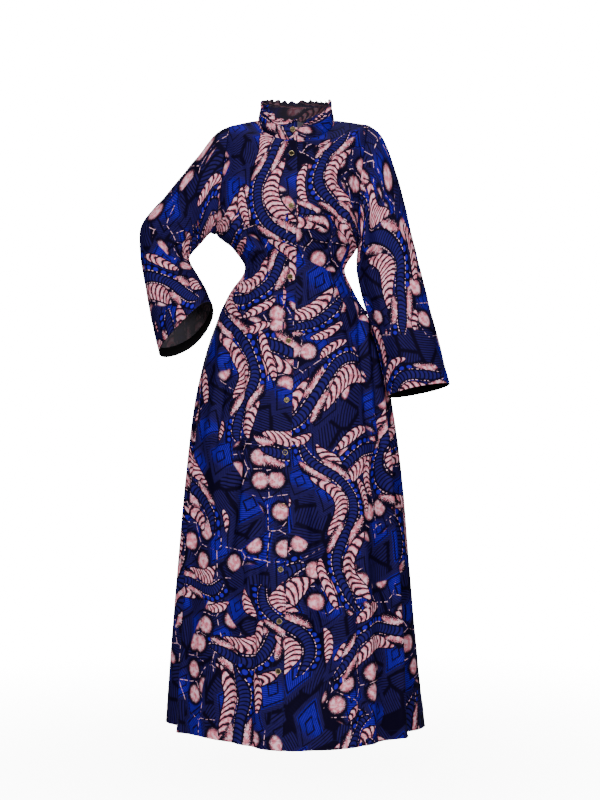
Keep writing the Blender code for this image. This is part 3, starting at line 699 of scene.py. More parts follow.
def make_shell(name, sheets, thickness):
    """Closed thin shell of one or more sheets, whose outer side is their points."""
    points, marks, faces, flats = [], [], [], []
    for sheet in sheets:
        grid, flat, edge, hem, around = sheet
        outer = sum(map(len, points)) + np.arange(edge.size).reshape(edge.shape)
        if around:
            outer = np.concatenate([outer, outer[:, :1]], axis=1)
        inner = outer + edge.size
        points += [grid.reshape(-1, 3), (grid - grid_normals(grid, around) * thickness).reshape(-1, 3)]
        marks += [np.stack([edge, hem, np.full_like(hem, side)], -1).reshape(-1, 3) for side in (1.0, 0.0)]
        patches = [(outer, flat, False), (inner, flat, True)]
        for at, backwards in ((0, False), (-1, True)):
            patches.append((np.stack([inner[at], outer[at]]), np.stack([flat[at]] * 2), backwards))
            if not around:
                rim = np.stack([inner[:, at], outer[:, at]])
                patches.append((rim, np.stack([flat[:, at]] * 2), not backwards))
        for index, place, backwards in patches:
            faces.append(cell_corners(index, backwards))
            flats.append(cell_corners(place, backwards))
    mesh = bpy.data.meshes.new(name)
    mesh.from_pydata(np.concatenate(points).tolist(), [], np.concatenate(faces).tolist())
    layer = mesh.uv_layers.new(name="cloth")
    layer.uv.foreach_set("vector", np.concatenate(flats).reshape(-1).astype(np.float32))
    marks_layer = mesh.attributes.new("edges", "FLOAT_VECTOR", "POINT")
    marks_layer.data.foreach_set("vector", np.concatenate(marks).reshape(-1).astype(np.float32))
    mesh.update()
    mesh.shade_smooth()
    mesh.set_sharp_from_angle(angle=math.radians(58))
    return mesh


def place_piece(name, mesh, material, node_name):
    """Make a piece of a mesh, which rides on the body and stands for a CAD node."""
    mesh.materials.append(material)
    made = bpy.data.objects.new(name, mesh)
    bpy.context.scene.collection.objects.link(made)
    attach(made, "root")
    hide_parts(node_name)
    return made


def make_cloth(node_name, sheets, thickness, material):
    """Cloth piece that stands for a CAD node: a closed shell of its sheets, with their flat cut as its UV
    map.
    """
    name = f"{node_name}_cloth"
    piece = place_piece(name, make_shell(name, sheets, thickness), material, node_name)


def body_crease(grid, crease):
    """Depth of one crease over a grid: a bowed line with soft ends and an uneven run."""
    start = np.array([crease.start_x, crease.start_z])
    line = np.array([crease.end_x, crease.end_z]) - start
    length = np.linalg.norm(line)
    place = grid[..., (0, 2)] - start
    along = (place @ line) / length**2
    away = (place @ np.array([line[1], -line[0]])) / length
    away = away - crease.bow * 4 * along * (1 - along)
    ends = smooth((along + CREASE_END) / CREASE_SOFTNESS) * smooth((1 + CREASE_END - along) / CREASE_SOFTNESS)
    ripple = 1 + 0.25 * np.sin(9 * along + 40 * crease.start_x)
    return crease.depth * ripple * ends * bell(away, crease.half_width)


def quarter_sheet(name, sizes):
    """Sheet of one quarter of the body, with its creases, its flat place and the distances from its edges."""
    quarter = QUARTERS[name]
    across = np.linspace(0.0, 1.0, COLUMNS + 1)
    grid, out = stack_rows([body_row(quarter, across, level, sizes.gathers) for level in LEVELS])
    from_side = lengths_along(grid, 1)
    from_centre = from_side[:, -1:] - from_side
    hem = lengths_along(grid)
    normal = grid_normals(grid)
    normal *= np.sign((normal * out).sum(-1).mean())
    reach = sizes.crumple * crumpled(grid, 3.0, 8.0)
    for crease in CREASES[quarter.facing]:
        reach += body_crease(grid, crease)
    level = np.array(LEVELS)[:, None]
    neck = 2 + NECK_SHARE[quarter.facing]
    clear = smooth(from_side / SIDE_EASE) * smooth((3 - level) / 0.18)
    if quarter.facing == "back":
        clear = clear * smooth(from_centre / CENTRE_EASE)
    at_neck = np.where(level > neck, smooth(from_centre / NECK_EASE), 1.0)
    clear = clear * at_neck * smooth((neck - level) / 0.1 + 5 * (from_centre > NECK_EASE))
    if quarter.lies_under:
        clear = clear * smooth((from_centre - OVERLAP - UNDERLAY_CLEAR) / CENTRE_EASE)
    grid = grid + normal * (reach * clear)[..., None]
    seam = bell(from_side, SEAM_WIDTH) * SEAM_DEPTH
    shoulder = bell(3 - level, SHOULDER_SEAM) * SHOULDER_DEPTH
    grid = grid - normal * np.maximum(seam, shoulder)[..., None]
    run = quarter.sign * from_centre + grid[:, -1:, 0]
    edge = from_centre if quarter.facing == "front" else np.ones_like(from_centre)
    place = CUT_PLACES[name]
    sheet = Sheet(grid, np.stack([run + place[0], hem - hem[SKIRT_ROWS] + place[1]], -1), edge, hem)
    return turned_over(sheet) if (quarter.side == "right") == (quarter.facing == "back") else sheet


def sleeve_sheet(side, place, crumple):
    """Sheet of one sleeve, closed round itself."""
    count = 2 * ARMHOLE_ROWS
    around = np.arange(count) / count
    places = np.linspace(0.0, len(SLEEVES[side]) - 1, SLEEVE_ROWS + 1)
    grid, out = stack_rows([sleeve_row(side, around, along) for along in places])
    reach = np.stack([crease_reach(SLEEVE_CREASES[side], around, along) for along in places])
    reach += smooth(places / CAP_CRUMPLE)[:, None] * crumple * crumpled(grid, 5.0, 1.0)
    seam = bell(places, ARMHOLE_SEAM)[:, None] * SEAM_DEPTH
    grid = grid + out * (reach - seam)[..., None]
    run = lengths_along(grid.mean(axis=1))
    girth = lengths_along(np.concatenate([grid, grid[:, :1]], axis=1), 1)
    girth = girth - girth[:, -1:] / 2
    flat = np.stack([girth + place[0], place[1] - np.broadcast_to(run[:, None], girth.shape)], -1)
    hem = np.broadcast_to(run[-1] - run[:, None], grid.shape[:2])
    sheet = Sheet(grid, flat, np.ones(grid.shape[:2]), hem, True)
    return turned_over(sheet) if side == "left" else sheet


def cuff_sheet(side, crumple):
    """Sheet of the band just inside a cuff."""
    whole = sleeve_sheet(side, (0.0, 0.0), crumple)
    first = -1 - int(np.sum(whole.hem[:, 0] <= BAND_WIDTH))
    grid = whole.grid - grid_normals(whole.grid, True) * BAND_INSIDE
    return Sheet(grid[first:], whole.flat[first:], whole.edge[first:], whole.hem[first:], True)


# Shader maths


class Wire:
    """A value in a material's tree that Python's operators work on by adding Math nodes."""

    def __init__(self, tree, socket):
        self.tree = tree
        self.socket = socket

    def math(self, operation, *others):
        return node(self.tree, "ShaderNodeMath", {"operation": operation}, dict(enumerate((self, *others))))

    def held(self, low, high):
        return self.math("MAXIMUM", low).math("MINIMUM", high)

    def __add__(self, other):
        return self.math("ADD", other)

    def __sub__(self, other):
        return self.math("SUBTRACT", other)

    def __rsub__(self, other):
        return self.math("MULTIPLY_ADD", -1.0, other)

    def __mul__(self, other):
        return self.math("MULTIPLY", other)

    def __truediv__(self, other):
        return self.math("DIVIDE", other)

    def __abs__(self):
        return self.math("ABSOLUTE")

    __radd__ = __add__
    __rmul__ = __mul__


def node(tree, kind, settings=None, sockets=None, output=0):
    """Add a node: its settings first, then the values or links of its sockets; gives one of its outputs."""
    made = tree.nodes.new(kind)
    for name, value in (settings or {}).items():
        setattr(made, name, value)
    for name, value in (sockets or {}).items():
        if isinstance(value, Wire):
            tree.links.new(value.socket, made.inputs[name])
        else:
            made.inputs[name].default_value = value
    return Wire(tree, made.outputs[output])


def rgba(colour, strength=1.0):
    return (*(value * strength for value in colour), 1.0)


class Paint:
    """Tree of one material, with the few kinds of steps the finishes are made of."""

    def __init__(self, name):
        self.material = bpy.data.materials.new(name)
        self.material.use_nodes = True
        self.tree = self.material.node_tree
        self.shader = self.tree.nodes["Principled BSDF"]

    def add(self, kind, settings=None, sockets=None, output=0):
        return node(self.tree, kind, settings, sockets, output)

    def ease(self, value, low, high):
        """0 below low and 1 above high, with a soft step between; low may be the higher."""
        sockets = {"Value": value, "From Min": low, "From Max": high}
        return self.add("ShaderNodeMapRange", {"interpolation_type": "SMOOTHSTEP"}, sockets)

    def split(self, vector):
        made = self.add("ShaderNodeSeparateXYZ", {}, {0: vector}).socket.node
        return [Wire(self.tree, socket) for socket in made.outputs]

    def join(self, x, y):
        return self.add("ShaderNodeCombineXYZ", {}, {0: x, 1: y})

    def vector(self, operation, *sockets, output=0):
        return self.add("ShaderNodeVectorMath", {"operation": operation}, dict(enumerate(sockets)), output)

    def noise(self, place, scale, detail=2.0, output=0, dimensions="2D"):
        sockets = {"Vector": place, "Scale": scale, "Detail": detail}
        return self.add("ShaderNodeTexNoise", {"noise_dimensions": dimensions}, sockets, output)

    def cells(self, place, scale, randomness=1.0, feature="F1", distance="EUCLIDEAN"):
        """Outputs of a pattern of cells: the distance, the cell's own random colour and its middle."""
        settings = {"voronoi_dimensions": "2D", "feature": feature, "distance": distance}
        sockets = {"Vector": place, "Scale": scale, "Randomness": randomness}
        made = self.add("ShaderNodeTexVoronoi", settings, sockets).socket.node
        return [Wire(self.tree, socket) for socket in made.outputs]

    def mix(self, share, low, high):
        return self.add("ShaderNodeMix", {"data_type": "RGBA"}, {0: share, 6: low, 7: high}, 2)

    def mark(self, name, output):
        return self.add("ShaderNodeAttribute", {"attribute_name": name}, output=output)

    def cloth_place(self):
        return self.add("ShaderNodeUVMap", {"uv_map": "cloth"})

    def bump(self, relief, strength=0.8):
        return self.add("ShaderNodeBump", {}, {"Strength": strength, "Distance": 1.0, "Height": relief})

    def set(self, **values):
        for name, value in values.items():
            socket = self.shader.inputs[name.replace("_", " ")]
            if isinstance(value, Wire):
                self.tree.links.new(value.socket, socket)
            else:
                socket.default_value = value


# Layout of the wax print, in metres; a scale is cells or blotches a metre
GRAIN_SCALE = 430.0
BLOTCH_SCALE = 105.0
WARP = 0.075
WARP_SCALE = 4.2
GROUND_SCALE = 17.0
GROUND_RIB_STEP = 0.0064
RIBBON_HALF = 0.0115
RIB_STEP = 0.0084
SPECKLED_AWAY = 0.0215
BEAD_STEP = 0.0135
BEAD_RADIUS = 0.0050
BEAD_LINE = 0.0185
DASH_STEP = 0.0080
DASH_AWAY = 0.0018
PETAL_SCALE = 12.5
PETAL_LENGTH = 0.70
PETAL_LEAN = math.radians(24)
PETAL_RIB_STEP = 0.0042
CHEVRON_STEP = 0.235
DOT_SCALE = 16.5
DOT_RANDOMNESS = 0.72
PATCH_SCALE = 6.3
WHOLE_TURN = 6.3
INNER_SHARE = 0.88

# Weave, slubs, crinkle and stitches of the cotton
WEAVE_STEP = 0.0007
SLUB_SCALE = 900.0
CRINKLE_SCALE = 65.0
EDGE_STITCH = 0.0022
STITCH_STEP = 0.0032
STITCH_HALF = 0.0007

# Two sets of ribbons that swing across the cloth, the second over the first: how far a set leans from
# upright, its spacing, the length and reach of its swing, and how much of its run is left out
RIBBON_SETS = table(
    "lean spacing repeat swing start cut", 1,
    (math.radians(66), 0.190, 0.300, 0.036, 0.70, 0.00),
    (math.radians(-13), 0.190, 0.350, 0.044, 0.00, -0.25),
)

# Striped leaves in a ribbon's bends: how far from the ribbon their middle runs, on the inside of the bend or
# (minus) outside it, their half width, the share of the bend that they leave free and their stripes' step
LEAVES = table(
    "away half free step", 1,
    (0.0345, 0.0195, 0.16, 0.0155),
    (-0.0400, 0.0115, 0.60, 0.0085),
)


def saw(value):
    """Place within a repeat, from -0.5 to 0.5."""
    return value - (value + 0.5).math("FLOOR")


def off_middle(value):
    """How far a place lies from the middle of its repeat, from 0 to 0.5."""
    return abs(saw(value))


def leaning(u, v, lean):
    """A place across and along lines that lean from upright."""
    return u * math.cos(lean) - v * math.sin(lean), u * math.sin(lean) + v * math.cos(lean)


def fan(u, v, turn):
    """A place across the ribs of a cell, which are turned by the cell's own random number."""
    return u * (turn * WHOLE_TURN).math("COSINE") + v * (turn * WHOLE_TURN).math("SINE")


class WaxPrint(Paint):
    """The print's colours, and the grain and blotches that roughen its edges and its dyes."""

    def __init__(self, name, colours, inner):
        super().__init__(name)
        for key in ("ground", "navy", "rib", "cobalt", "pink", "pale", "maroon", "thread"):
            setattr(self, key, rgba(getattr(colours, key)))
        self.inner = rgba(getattr(colours, inner))
        self.flat = self.cloth_place()
        self.grain = self.noise(self.flat, GRAIN_SCALE)
        self.blotch = self.noise(self.flat, BLOTCH_SCALE)

    def rough(self, value, reach):
        return value + (self.grain - 0.5) * reach

    def celled_ground(self, u, v):
        """Near black ground with navy cells that carry fine ribs."""
        pick, turn, _ = self.split(self.cells(self.flat, GROUND_SCALE)[1])
        border = self.cells(self.flat, GROUND_SCALE, feature="DISTANCE_TO_EDGE")[0]
        ribs = self.ease(off_middle(fan(u, v, turn) / GROUND_RIB_STEP), 0.10, 0.30)
        inside = self.ease(self.rough(border, 0.05), 0.04, 0.12) * self.ease(pick, 0.08, 0.12)
        return self.mix(inside * ribs, self.ground, self.navy)

    def petals(self, below, u, v):
        """Pointed petals with nested chevrons, bright at one end and dark at the other."""
        across, along = leaning(u, v, PETAL_LEAN)
        place = self.join(across, along * PETAL_LENGTH)
        away, colour, middle, *_ = self.cells(place, PETAL_SCALE, 0.62, distance="MANHATTAN")
        pick, turn, _ = self.split(colour)
        away = self.rough(away, 0.035)
        way = ((turn - 0.5) * 40.0).held(-1.0, 1.0)
        end = (along * PETAL_LENGTH - self.split(middle)[1]) * PETAL_SCALE * way
        chevrons = self.ease(off_middle(away / CHEVRON_STEP + 0.36), 0.05, 0.14)
        ribs = self.rough(off_middle(fan(u, v, turn) / PETAL_RIB_STEP), 0.2)
        ribs = self.ease(ribs, 0.10, 0.30) * 0.6 + 0.4
        bright = self.ease(end, -0.26, 0.04) * self.ease(pick, 0.22, 0.26) * self.ease(away, 0.47, 0.40)
        shade = self.mix(bright * ribs, self.navy, self.cobalt)
        shade = self.mix(chevrons * ribs, self.ground, shade)
        return self.mix(self.ease(away, 0.58, 0.54) * self.ease(pick, 0.10, 0.12), below, shade)

    def dots(self, below):
        """Haloed pink blossoms strewn in patches, with thin pale lines between them."""
        away = self.rough(self.cells(self.flat, DOT_SCALE, DOT_RANDOMNESS)[0], 0.16)
        border = self.cells(self.flat, DOT_SCALE, DOT_RANDOMNESS, "DISTANCE_TO_EDGE")[0]
        patch = self.ease(self.noise(self.flat, PATCH_SCALE, 0.0), 0.54, 0.56)
        colour = self.mix(self.ease(away, 0.50, 0.36) * patch, below, self.ground)
        threads = self.ease(self.rough(border, 0.02), 0.016, 0.006) * self.ease(self.blotch, 0.46, 0.56)
        colour = self.mix(threads * patch, colour, self.pale)
        heart = self.mix(self.ease(self.blotch, 0.42, 0.62), self.pink, self.pale)
        return self.mix(self.ease(away, 0.34, 0.20) * patch, colour, heart)

    def leaf(self, below, leaf, place):
        """Pink leaf in each bend of a ribbon, with curved dark stripes that lean across it."""
        outer, _, run, bow, shown = place
        middle = outer * -1.0 - leaf.away
        fullness = ((bow - leaf.free) / (1 - leaf.free)).math("MAXIMUM", 0.0).math("POWER", 0.6)
        half = fullness * shown * leaf.half
        inside = self.rough(half - abs(middle), 0.0024)
        arch = middle / leaf.half
        arcs = run / leaf.step + arch * arch * 0.8 + middle * 26.0 + (self.blotch - 0.5) * 0.4
        from_stripe = self.rough(off_middle(arcs), 0.12)
        shade = self.mix(self.ease(from_stripe + self.blotch * 1.2, 0.80, 1.12), self.pink, self.pale)
        shade = self.mix(self.ease(from_stripe, 0.13, 0.25), self.maroon, shade)
        shade = self.mix(self.ease(inside, 0.0008, 0.0020), self.ground, shade)
        return self.mix(self.ease(inside, -0.0020, -0.0008) * self.ease(half, 0.002, 0.004), below, shade)

    def speckled(self, colour, outer, bow, drawn):
        """Speckled pink bands beside the gentler stretches of a ribbon."""
        half = (0.62 - bow).math("MAXIMUM", 0.0) * 0.022 * drawn
        away = abs(outer) - SPECKLED_AWAY
        band = self.rough(abs(away) - half, 0.012)
        there = self.ease(half, 0.0015, 0.0035)
        colour = self.mix(self.ease(band, 0.0050, 0.0030) * there, colour, self.ground)
        shade = self.mix(self.ease(self.blotch, 0.46, 0.60), self.pink, self.pale)
        fade = self.ease(away * 60.0 + self.grain * 1.6 - 0.30, 0.50, 0.78)
        shade = self.mix(fade, shade, self.ground)
        return self.mix(self.ease(band, 0.0012, -0.0034) * there, colour, shade)

    def beads(self, colour, outer, run, strung):
        """Beads on the outside of a ribbon's bends."""
        line = outer - BEAD_LINE
        colour = self.mix(self.ease(abs(line), 0.0074, 0.0062) * strung, colour, self.ground)
        along = saw(run / BEAD_STEP) * BEAD_STEP
        bead = self.rough((line * line + along * along).math("SQRT"), 0.0014)
        return self.mix(self.ease(bead, BEAD_RADIUS, BEAD_RADIUS - 0.0012) * strung, colour, self.cobalt)

    def ribbon(self, below, place):
        """Dark ribbon with curved ribs, with beads, speckled bands and dashes along it."""
        outer, beside, run, bow, shown = place
        half = shown.math("POWER", 0.5) * RIBBON_HALF
        drawn = self.ease(shown, 0.05, 0.10)
        colour = self.speckled(below, outer, bow, drawn)
        colour = self.beads(colour, outer, run, self.ease(bow, 0.55, 0.60) * drawn)
        wide = self.rough(abs(beside), 0.0012)
        inside = half - wide
        arch = beside / RIBBON_HALF
        ribs = self.ease(off_middle(run / RIB_STEP + arch * arch * 0.5), 0.08, 0.26)
        ribbon = self.mix(ribs * self.ease(inside, 0.0010, 0.0040), self.ground, self.rib)
        colour = self.mix(self.ease(inside, -0.0024, -0.0014) * drawn, colour, self.ground)
        colour = self.mix(self.ease(inside, -0.0004, 0.0006) * drawn, colour, ribbon)
        dashes = self.ease(abs(wide - half - DASH_AWAY), 0.0011, 0.0005)
        dashes = dashes * self.ease(saw(run / DASH_STEP), -0.10, 0.02) * self.ease(self.blotch, 0.44, 0.52)
        return self.mix(dashes * drawn, colour, self.pale)

    def colour(self, side_mark):
        """Colour of the print: swinging ribbons, striped leaves, haloed blossoms and chevron petals."""
        drift = self.vector("SUBTRACT", self.noise(self.flat, WARP_SCALE, 1.0, 1), (0.5, 0.5, 0.5))
        drift = self.vector("MULTIPLY", drift, (WARP, WARP, WARP))
        u, v, _ = self.split(self.vector("ADD", self.flat, drift))
        colour = self.celled_ground(u, v)
        colour = self.petals(colour, u, v)
        colour = self.dots(colour)
        for ribbons in RIBBON_SETS:
            place = follow_ribbon(u, v, ribbons)
            for leaf in LEAVES:
                colour = self.leaf(colour, leaf, place)
            colour = self.ribbon(colour, place)

        # Specks of the wax, and the plainer inner side: the cloth's grey wrong side, or on the collar the
        # near-black 'facing' colour, which is painted shade
        specks = self.ease(self.grain * self.blotch, 0.13, 0.19)
        colour = self.mix(specks * 0.35 + 0.65, self.ground, colour)
        return self.mix(side_mark, self.mix(INNER_SHARE, colour, self.inner), colour)

    def stitches(self, away, along):
        """Mask of a row of stitches where away is zero."""
        line = self.ease(abs(away), STITCH_HALF, 0.0003)
        return line * self.ease(off_middle(along / STITCH_STEP), 0.40, 0.30)


def follow_ribbon(u, v, ribbons):
    """Where a place lies on its nearest ribbon: how far beside it, towards the outside of the bend and as it
    is, how far along it, how strongly it bends there and how wide it is drawn."""
    across, along = leaning(u, v, ribbons.lean)
    count = 2 * math.pi / ribbons.repeat
    strip = (across / ribbons.spacing + 0.5).math("FLOOR")
    phase = along * count + (strip * 2.4 + ribbons.start).math("SINE") * 4.0
    bow = phase.math("COSINE")
    slope = phase.math("SINE") * (-ribbons.swing * count)
    stretch = (slope * slope + 1.0).math("SQRT")
    beside = (across - strip * ribbons.spacing - bow * ribbons.swing) / stretch
    run = along + beside * slope / (stretch * (abs(beside) * 12.0 + 1.0))
    shown = (phase * 0.5 + strip * 1.7 + ribbons.start).math("SINE") - ribbons.cut
    return beside * bow.math("SIGN"), beside, run, abs(bow), (shown * 3.0).held(0.0, 1.0)


def print_material(name, inner):
    """Printed wax cotton, made once: the print, a plain weave, stitches along its hems and a faint sheen."""
    found = bpy.data.materials.get(name)
    if found:
        return found
    paint = WaxPrint(name, bpy.context.scene.dress_colours, inner)
    edge, hem, side_mark = paint.split(paint.mark("edges", 1))
    u, v, _ = paint.split(paint.flat)
    stitch = paint.stitches(edge - EDGE_STITCH, v)
    stitch = stitch.math("MAXIMUM", paint.stitches(edge - PLACKET_WIDTH, v))
    stitch = stitch.math("MAXIMUM", paint.stitches(hem - HEM_WIDTH, u))
    colour = paint.mix(stitch * 0.8, paint.colour(side_mark), paint.thread)
    threads = 2 * math.pi / WEAVE_STEP
    weave = (u * threads).math("SINE") * (v * threads).math("SINE")
    slub = paint.noise(paint.flat, SLUB_SCALE, 1.0)
    crinkle = paint.noise(paint.flat, CRINKLE_SCALE, 3.0)
    relief = weave * 0.00003 + slub * 0.00006 + crinkle * 0.0009 + stitch * 0.0003
    bump = paint.bump(relief)
    paint.set(Base_Color=colour, Roughness=0.66 + slub * 0.18, Normal=bump, Specular_IOR_Level=0.05)
    return paint.material


def band_material(colour):
    """Black ribbed cotton with fine slubs."""
    paint = Paint("black_band_cotton")
    place = paint.cloth_place()
    slub = paint.noise(place, 700.0)
    ribs = off_middle(paint.split(place)[1] / 0.0012)
    shade = paint.mix(slub, rgba(colour, 0.6), rgba(colour, 1.7))
    bump = paint.bump(ribs * 0.0002 + slub * 0.00008)
    paint.set(Base_Color=shade, Roughness=0.85, Normal=bump, Specular_IOR_Level=0.1)
    return paint.material


def brass_material(colour):
    """Worn antique brass, with painted shade: near black in the well of a stud."""
    paint = Paint("antique_brass_ring")
    place = paint.add("ShaderNodeTexCoord", output=3)
    worn = paint.ease(paint.noise(place, 620.0, 3.0, dimensions="3D"), 0.40, 0.62)
    scratch = paint.noise(place, 2600.0, dimensions="3D")
    shade = paint.mix(worn, rgba(colour, 0.35), rgba(colour))
    # Painted shade: the well's faces are darkened to near black.
    shade = paint.mix(paint.mark("well", 2) * 0.94, shade, rgba(colour, 0.02))
    bump = paint.bump(scratch * 0.00005, 0.4)
    paint.set(Base_Color=shade, Roughness=0.46 - worn * 0.16, Metallic=1.0, Normal=bump)
    return paint.material


# Pieces


def length(name, description, default, low, high):
    """A length among the values of the panel."""
    return FloatProperty(
        name=name, description=description, default=default, min=low, max=high, unit="LENGTH", precision=4
    )


def colour(name, description, *default):
    """A colour among the values of the panel."""
    return FloatVectorProperty(
        name=name, description=description, default=default, subtype="COLOR", size=3, min=0, max=1
    )


class DressSizes(bpy.types.PropertyGroup):
    # No facing layer is built: the collar's dark inner side is painted shade.
    cloth: length("Cloth", "Thickness of the printed cotton with its facing", 0.0010, 0.0003, 0.0016)
    gathers: length("Gathers", "Depth of the gathers at the waist", 0.0026, 0.0, 0.004)
    crumple: length("Crumple", "Depth of the cloth's soft unevenness", 0.0016, 0.0, 0.004)
    ruffle: length("Ruffle", "Depth of the waves along the collar's ruffle", 0.0048, 0.0, 0.006)
    stud_radius: length("Stud radius", "Outer radius of a ring press stud", 0.0065, 0.003, 0.008)
    stud_sides: IntProperty(
        name="Stud sides", description="Number of sides of a turned stud", default=40, min=12, max=64
    )


class DressColours(bpy.types.PropertyGroup):
    ground: colour("Ground", "Near black ground of the print", 0.0030, 0.0012, 0.0125)
    navy: colour("Navy", "Dark blue of the ground's cells and the petals", 0.0145, 0.0088, 0.0840)
    rib: colour("Ribs", "Blue of the ribs across a ribbon", 0.0165, 0.0100, 0.1250)
    cobalt: colour("Cobalt", "Bright blue of petals and beads", 0.0230, 0.0004, 0.4000)
    pink: colour("Pink", "Dusty pink of leaves and blossoms", 0.82, 0.225, 0.305)
    pale: colour("Pale", "Palest pink of the print's lights and dashes", 0.97, 0.560, 0.670)
    maroon: colour("Stripes", "Dark stripes across the leaves", 0.024, 0.005, 0.018)
    wrong_side: colour("Wrong side", "Grey of the cloth's wrong side", 0.108, 0.097, 0.112)
    # Painted shade: the near-black 'facing' colour paints the shade inside the collar onto its inner side; no
    # facing cloth is built.
    facing: colour("Facing", "Dark facing inside the collar", 0.020, 0.016, 0.024)
    thread: colour("Thread", "Colour of the sewing thread", 0.012, 0.014, 0.05)
    band: colour("Band", "Black band inside the cuffs", 0.0045, 0.0040, 0.0050)
    brass: colour("Brass", "Antique brass of the studs", 0.72, 0.56, 0.30)


class DressFronts(bpy.types.Operator):
    """Both fronts, the right one over the left, with placket stitching and hem"""

    bl_idname = "dress.fronts"
    bl_label = "Fronts"

    def execute(self, context):
        sizes = context.scene.dress_sizes
        printed = print_material("wax_print_cotton", "wrong_side")
        for name in ("front_right", "front_left"):
            make_cloth(name, [quarter_sheet(name, sizes)], sizes.cloth, printed)
        return {"FINISHED"}


class DressBack(bpy.types.Operator):
    """Back of the dress in one piece, gathered at the waist"""

    bl_idname = "dress.back"
    bl_label = "Back"

    def execute(self, context):
        sizes = context.scene.dress_sizes
        printed = print_material("wax_print_cotton", "wrong_side")
        sheets = [quarter_sheet(name, sizes) for name in ("back_right", "back_left")]
        make_cloth("back", sheets, sizes.cloth, printed)
        return {"FINISHED"}


class DressSleeves(bpy.types.Operator):
    """Bell sleeves, one bent and one hanging"""

    bl_idname = "dress.sleeves"
    bl_label = "Sleeves"

    def execute(self, context):
        sizes = context.scene.dress_sizes
        printed = print_material("wax_print_cotton", "wrong_side")
        for side in ("right", "left"):
            sheet = sleeve_sheet(side, CUT_PLACES[f"sleeve_{side}"], sizes.crumple)
            make_cloth(f"sleeve_{side}", [sheet], sizes.cloth, printed)
        return {"FINISHED"}


class DressBands(bpy.types.Operator):
    """Black bands inside the cuffs"""

    bl_idname = "dress.bands"
    bl_label = "Cuff bands"

    def execute(self, context):
        black = band_material(context.scene.dress_colours.band)
        for side in ("right", "left"):
            sheet = cuff_sheet(side, context.scene.dress_sizes.crumple)
            make_cloth(f"cuff_band_{side}", [sheet], BAND_CLOTH, black)
        return {"FINISHED"}


def collar_row(angles, rise):
    """Points of the collar at one rise above the neckline, and the ways out. Its left end draws away as it
    goes up, and it stands higher at the right of the front."""
    height_share = max(0.0, rise) / (STAND_HEIGHT + RUFFLE_HEIGHT)
    share = (angles[0] - angles) / (angles[0] - angles[-1])
    splay = LEFT_END_SPLAY * height_share**SPLAY_GROWTH
    spread = angles + splay * smooth(1 - (1 - share) / LEFT_END_SHARE)
    out = np.stack([np.sin(spread), -np.cos(spread), 0 * spread], -1)
    end_share = smooth(1 - np.minimum(share, 1 - share) / COLLAR_END_SHARE)
    lean = COLLAR_LEAN * rise + COLLAR_END_FLARE * end_share * height_share**2
    base = neck_point(spread)
    base[:, 2] += rise * (1 + RIGHT_LIFT * bell(angles + RIGHT_LIFT_ANGLE, RIGHT_LIFT_SPREAD))
    return base + out * lean[:, None], out


def stand_grid(angles):
    """Points of the collar stand, tucked in at its foot and rolled at its top."""
    rises = np.linspace(-0.003, STAND_HEIGHT, STAND_ROWS)
    grid, out = stack_rows([collar_row(angles, rise) for rise in rises])
    tuck = smooth(1 - rises / 0.004) * STAND_TUCK
    roll = bell(rises - STAND_HEIGHT, 0.0022) * STAND_ROLL
    grid = grid - out * (tuck + roll)[:, None, None]
    soft = STAND_UNEVEN * uneven(grid, 0.018, 2.0) * smooth(rises / 0.01)[:, None]
    return grid + out * soft[..., None]


def ruffle_grid(angles, depth):
    """Points of the ruffle, whose uneven waves grow towards its top."""
    rises = np.linspace(STAND_HEIGHT - 0.001, STAND_HEIGHT + RUFFLE_HEIGHT, RUFFLE_ROWS)
    grid, out = stack_rows([collar_row(angles, rise) for rise in rises])
    share = ((rises - rises[0]) / (rises[-1] - rises[0]))[:, None]
    drift = 1.3 * np.sin(3 * angles) + 0.8 * np.sin(7 * angles + 1)
    phase = RUFFLE_WAVES * angles + drift
    wave = np.sin(phase) * (0.8 + 0.2 * np.sin(5 * angles + 2))
    fine = FINE_WAVE_SHARE * np.sin(FINE_WAVES * angles + 2 * drift)
    grid += out * (depth * (wave * share**0.8 + fine * (1 - share) * share * 2))[..., None]
    grid[..., 2] += share * (0.0016 * np.sin(5.1 * angles + 1) + 0.0024 * np.cos(phase + 0.6))
    return grid


def collar_sheet(grid, place):
    """Sheet of a strip of the collar."""
    lengths = lengths_along(grid, 1)
    rise = lengths_along(grid[:, COLLAR_COLUMNS // 2])
    rise = np.broadcast_to(rise[:, None], lengths.shape)
    edge = np.minimum(lengths, lengths[:, -1:] - lengths)
    return turned_over(Sheet(grid, np.stack([lengths, rise], -1) + place, edge, rise[-1:] - rise))


class DressCollar(bpy.types.Operator):
    """Stand collar with a ruffle along its top"""

    bl_idname = "dress.collar"
    bl_label = "Collar"

    def execute(self, context):
        sizes = context.scene.dress_sizes
        # The collar's inner side takes the near-black 'facing' colour, which is painted shade inside the
        # collar.
        print_painted_shade_inside = print_material("wax_print_faced", "facing")
        right, left = (neck_start(QUARTERS[name]) for name in ("front_right", "front_left"))
        angles = np.linspace(-right, left - 2 * math.pi, COLLAR_COLUMNS)
        stand = collar_sheet(stand_grid(angles), CUT_PLACES["collar_stand"])
        make_cloth("collar_stand", [stand], sizes.cloth, print_painted_shade_inside)
        ruffle = collar_sheet(ruffle_grid(angles, sizes.ruffle), CUT_PLACES["collar_ruffle"])
        make_cloth("collar_ruffle", [ruffle], RUFFLE_CLOTH, print_painted_shade_inside)
        return {"FINISHED"}


# Shares of a stud's radius: its rise and sink, its rim, its well and the post in the middle of the well
STUD_RISE = 0.24
STUD_SINK = 0.09
RIM_SHARE = 0.26
WELL_SLOPE = 0.06
WELL_DEPTH = 0.19
WELL_FLOOR = 0.38
POST_SLOPE = 0.06
POST_RISE = 0.10
RIM_ROUND = 0.13


